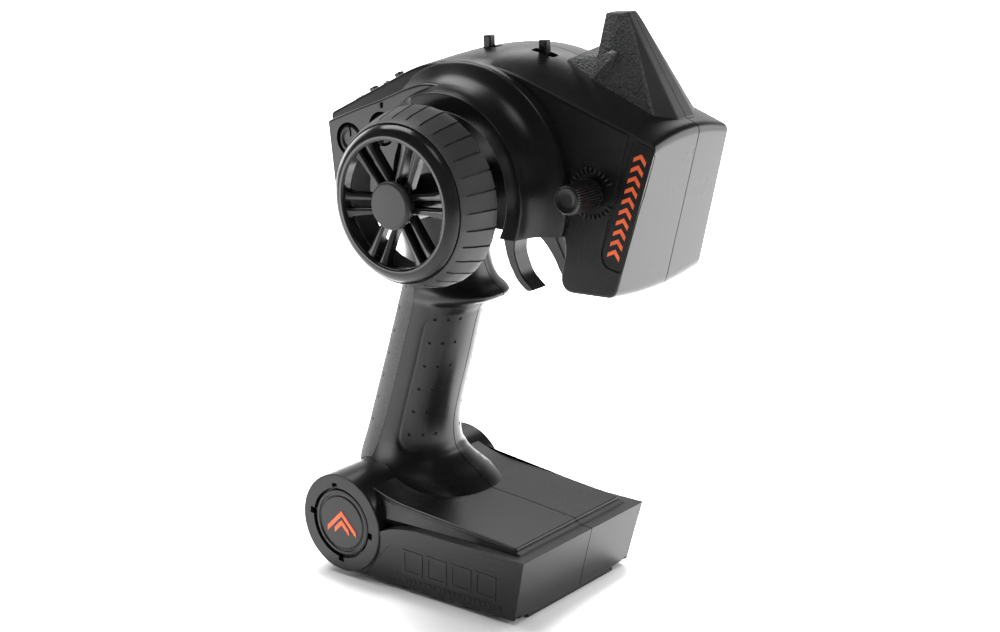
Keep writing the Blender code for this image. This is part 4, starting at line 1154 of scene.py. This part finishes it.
def build_screws():
    """Case screws with cross recesses, in the wells of the left side."""
    for i, (x, z) in enumerate(SCREW_PLACES):
        top = screw_wall(x, z) - 1.4
        head = soft_profile([
            (0, 0, 0), (1.9, -0.1, 0.3), (2.9, -0.8, 0.4), (2.9, -2.3, 0.1), (1.3, -2.3, 0.1),
            (1.3, -(top + 8), 0.3), (0, -(top + 8), 0)])
        shape = carve(turned(head, (x, top, z), (0, 1, 0), 40), cut=[
            box((x - 1.7, top - 1.1, z - 0.32), (x + 1.7, top + 2, z + 0.32)),
            box((x - 0.32, top - 1.12, z - 1.7), (x + 0.32, top + 2, z + 1.7)),
        ])
        piece(f"cross_screw_{i + 1}", shape, STEEL, [f"case_screw_{i + 1}"])


# ---- stage, camera and lights

def build_stage():
    material, tree, shader = nodes_of("floor")
    tone = mixed(tree, ranged(tree, noise(tree, 0.004, 2), 0, 1), (0.80, 0.80, 0.80), (0.83, 0.83, 0.83))
    feed(tree, shader, {"Base Color": tone, "Roughness": 0.75})
    shape = bmesh.new()
    bmesh.ops.create_grid(shape, x_segments=8, y_segments=8, size=6000)
    floor = raw_object("floor", shape)
    floor.data.materials.append(material)


def build_world():
    """A white backdrop behind the object and a dark room in front of it and over it."""
    world = bpy.data.worlds.new("studio")
    world.use_nodes = True
    bpy.context.scene.world = world
    tree = world.node_tree
    direction = add(tree, "ShaderNodeTexCoord", {}).outputs["Generated"]
    split = add(tree, "ShaderNodeSeparateXYZ", {0: direction})
    back = add(tree, "ShaderNodeVectorMath", {0: direction, 1: (-0.25, 0.97, 0)}, operation="DOT_PRODUCT")
    by_height = ranged(tree, split.outputs["Z"], 1.1, 0.03, 0.33, 0.52)
    by_side = ranged(tree, back.outputs["Value"], 0.08, 1, -0.1, 0.35)
    strength = add(tree, "ShaderNodeMath", {0: by_height, 1: by_side}, operation="MULTIPLY").outputs[0]
    feed(tree, tree.nodes["Background"], {"Color": (1, 1, 1), "Strength": strength})


def softbox(name, place, width, height, power, target=(0, 0, 0.15)):
    """A panel of light at a place, turned to a target."""
    light = bpy.data.lights.new(name, "AREA")
    light.shape = "RECTANGLE"
    light.size, light.size_y = width, height
    light.energy = power
    obj = bpy.data.objects.new(name, light)
    obj.location = place
    obj.rotation_euler = (Vector(target) - Vector(place)).to_track_quat("-Z", "Y").to_euler()
    obj.visible_camera = False
    bpy.context.scene.collection.objects.link(obj)
    return obj


def floor_wash(name, x, y, height, size, spread, power):
    """A light that points straight down at the floor and lights nothing else, to keep the floor white."""
    obj = softbox(name, (x, y, height), size, size, power, (x, y, 0))
    obj.data.spread = radians(spread)
    obj.visible_glossy = False
    floor_only = bpy.data.collections.new(name)
    floor_only.objects.link(bpy.data.objects["floor"])
    obj.light_linking.receiver_collection = floor_only


def build_camera():
    azimuth, elevation, roll = radians(38.22), radians(16.19), radians(-0.76)
    level = cos(elevation)
    forward = Vector((-sin(azimuth) * level, cos(azimuth) * level, -sin(elevation)))
    camera = bpy.data.cameras.new("camera")
    camera.lens, camera.sensor_width = 72, 36
    camera.clip_start, camera.clip_end = 0.05, 50
    obj = bpy.data.objects.new("camera", camera)
    turn = forward.to_track_quat("-Z", "Y").to_matrix().to_4x4() @ Matrix.Rotation(roll, 4, "Z")
    obj.matrix_world = Matrix.Translation(Vector((475.1, -588.9, 326.2)) * MM) @ turn
    bpy.context.scene.collection.objects.link(obj)
    bpy.context.scene.camera = obj


finish_frame()
build_casing()
build_strap()
build_badge()
build_marks()
build_relief()
build_heel_caps()
build_fin()
build_wheel()
build_trigger()
build_rate_knob()
build_trim_dials()
build_levers()
build_panel()
build_screws()
build_stage()
build_world()
softbox("top panel", (-0.50, -0.05, 0.95), 0.6, 0.6, 8)
softbox("high front panel", (0.33, -0.35, 0.95), 0.35, 0.35, 1.3)
softbox("back panel", (-0.40, 0.83, 0.78), 0.5, 0.3, 1.4)
softbox("back right panel", (0.62, 0.78, 0.30), 0.5, 0.6, 4)
softbox("right panel", (1.05, 0.05, 0.30), 0.9, 0.8, 6.2, (0.05, 0, 0.15)).visible_glossy = False
softbox("left card", (-0.335, -0.41, 0.08), 0.20, 0.12, 0.5, (0, -0.05, 0.17))
softbox("rear left panel", (-1, 0.10, 0.35), 0.5, 0.5, 3)
floor_wash("floor wash", -0.18, 0.32, 1.1, 0.5, 95, 12)
floor_wash("right floor wash", 0.30, 0.42, 0.7, 0.35, 80, 3.5)
floor_wash("far floor wash", -0.9, 1.5, 1.6, 1.6, 120, 90)
bpy.context.scene.view_settings.view_transform = "Standard"
build_camera()
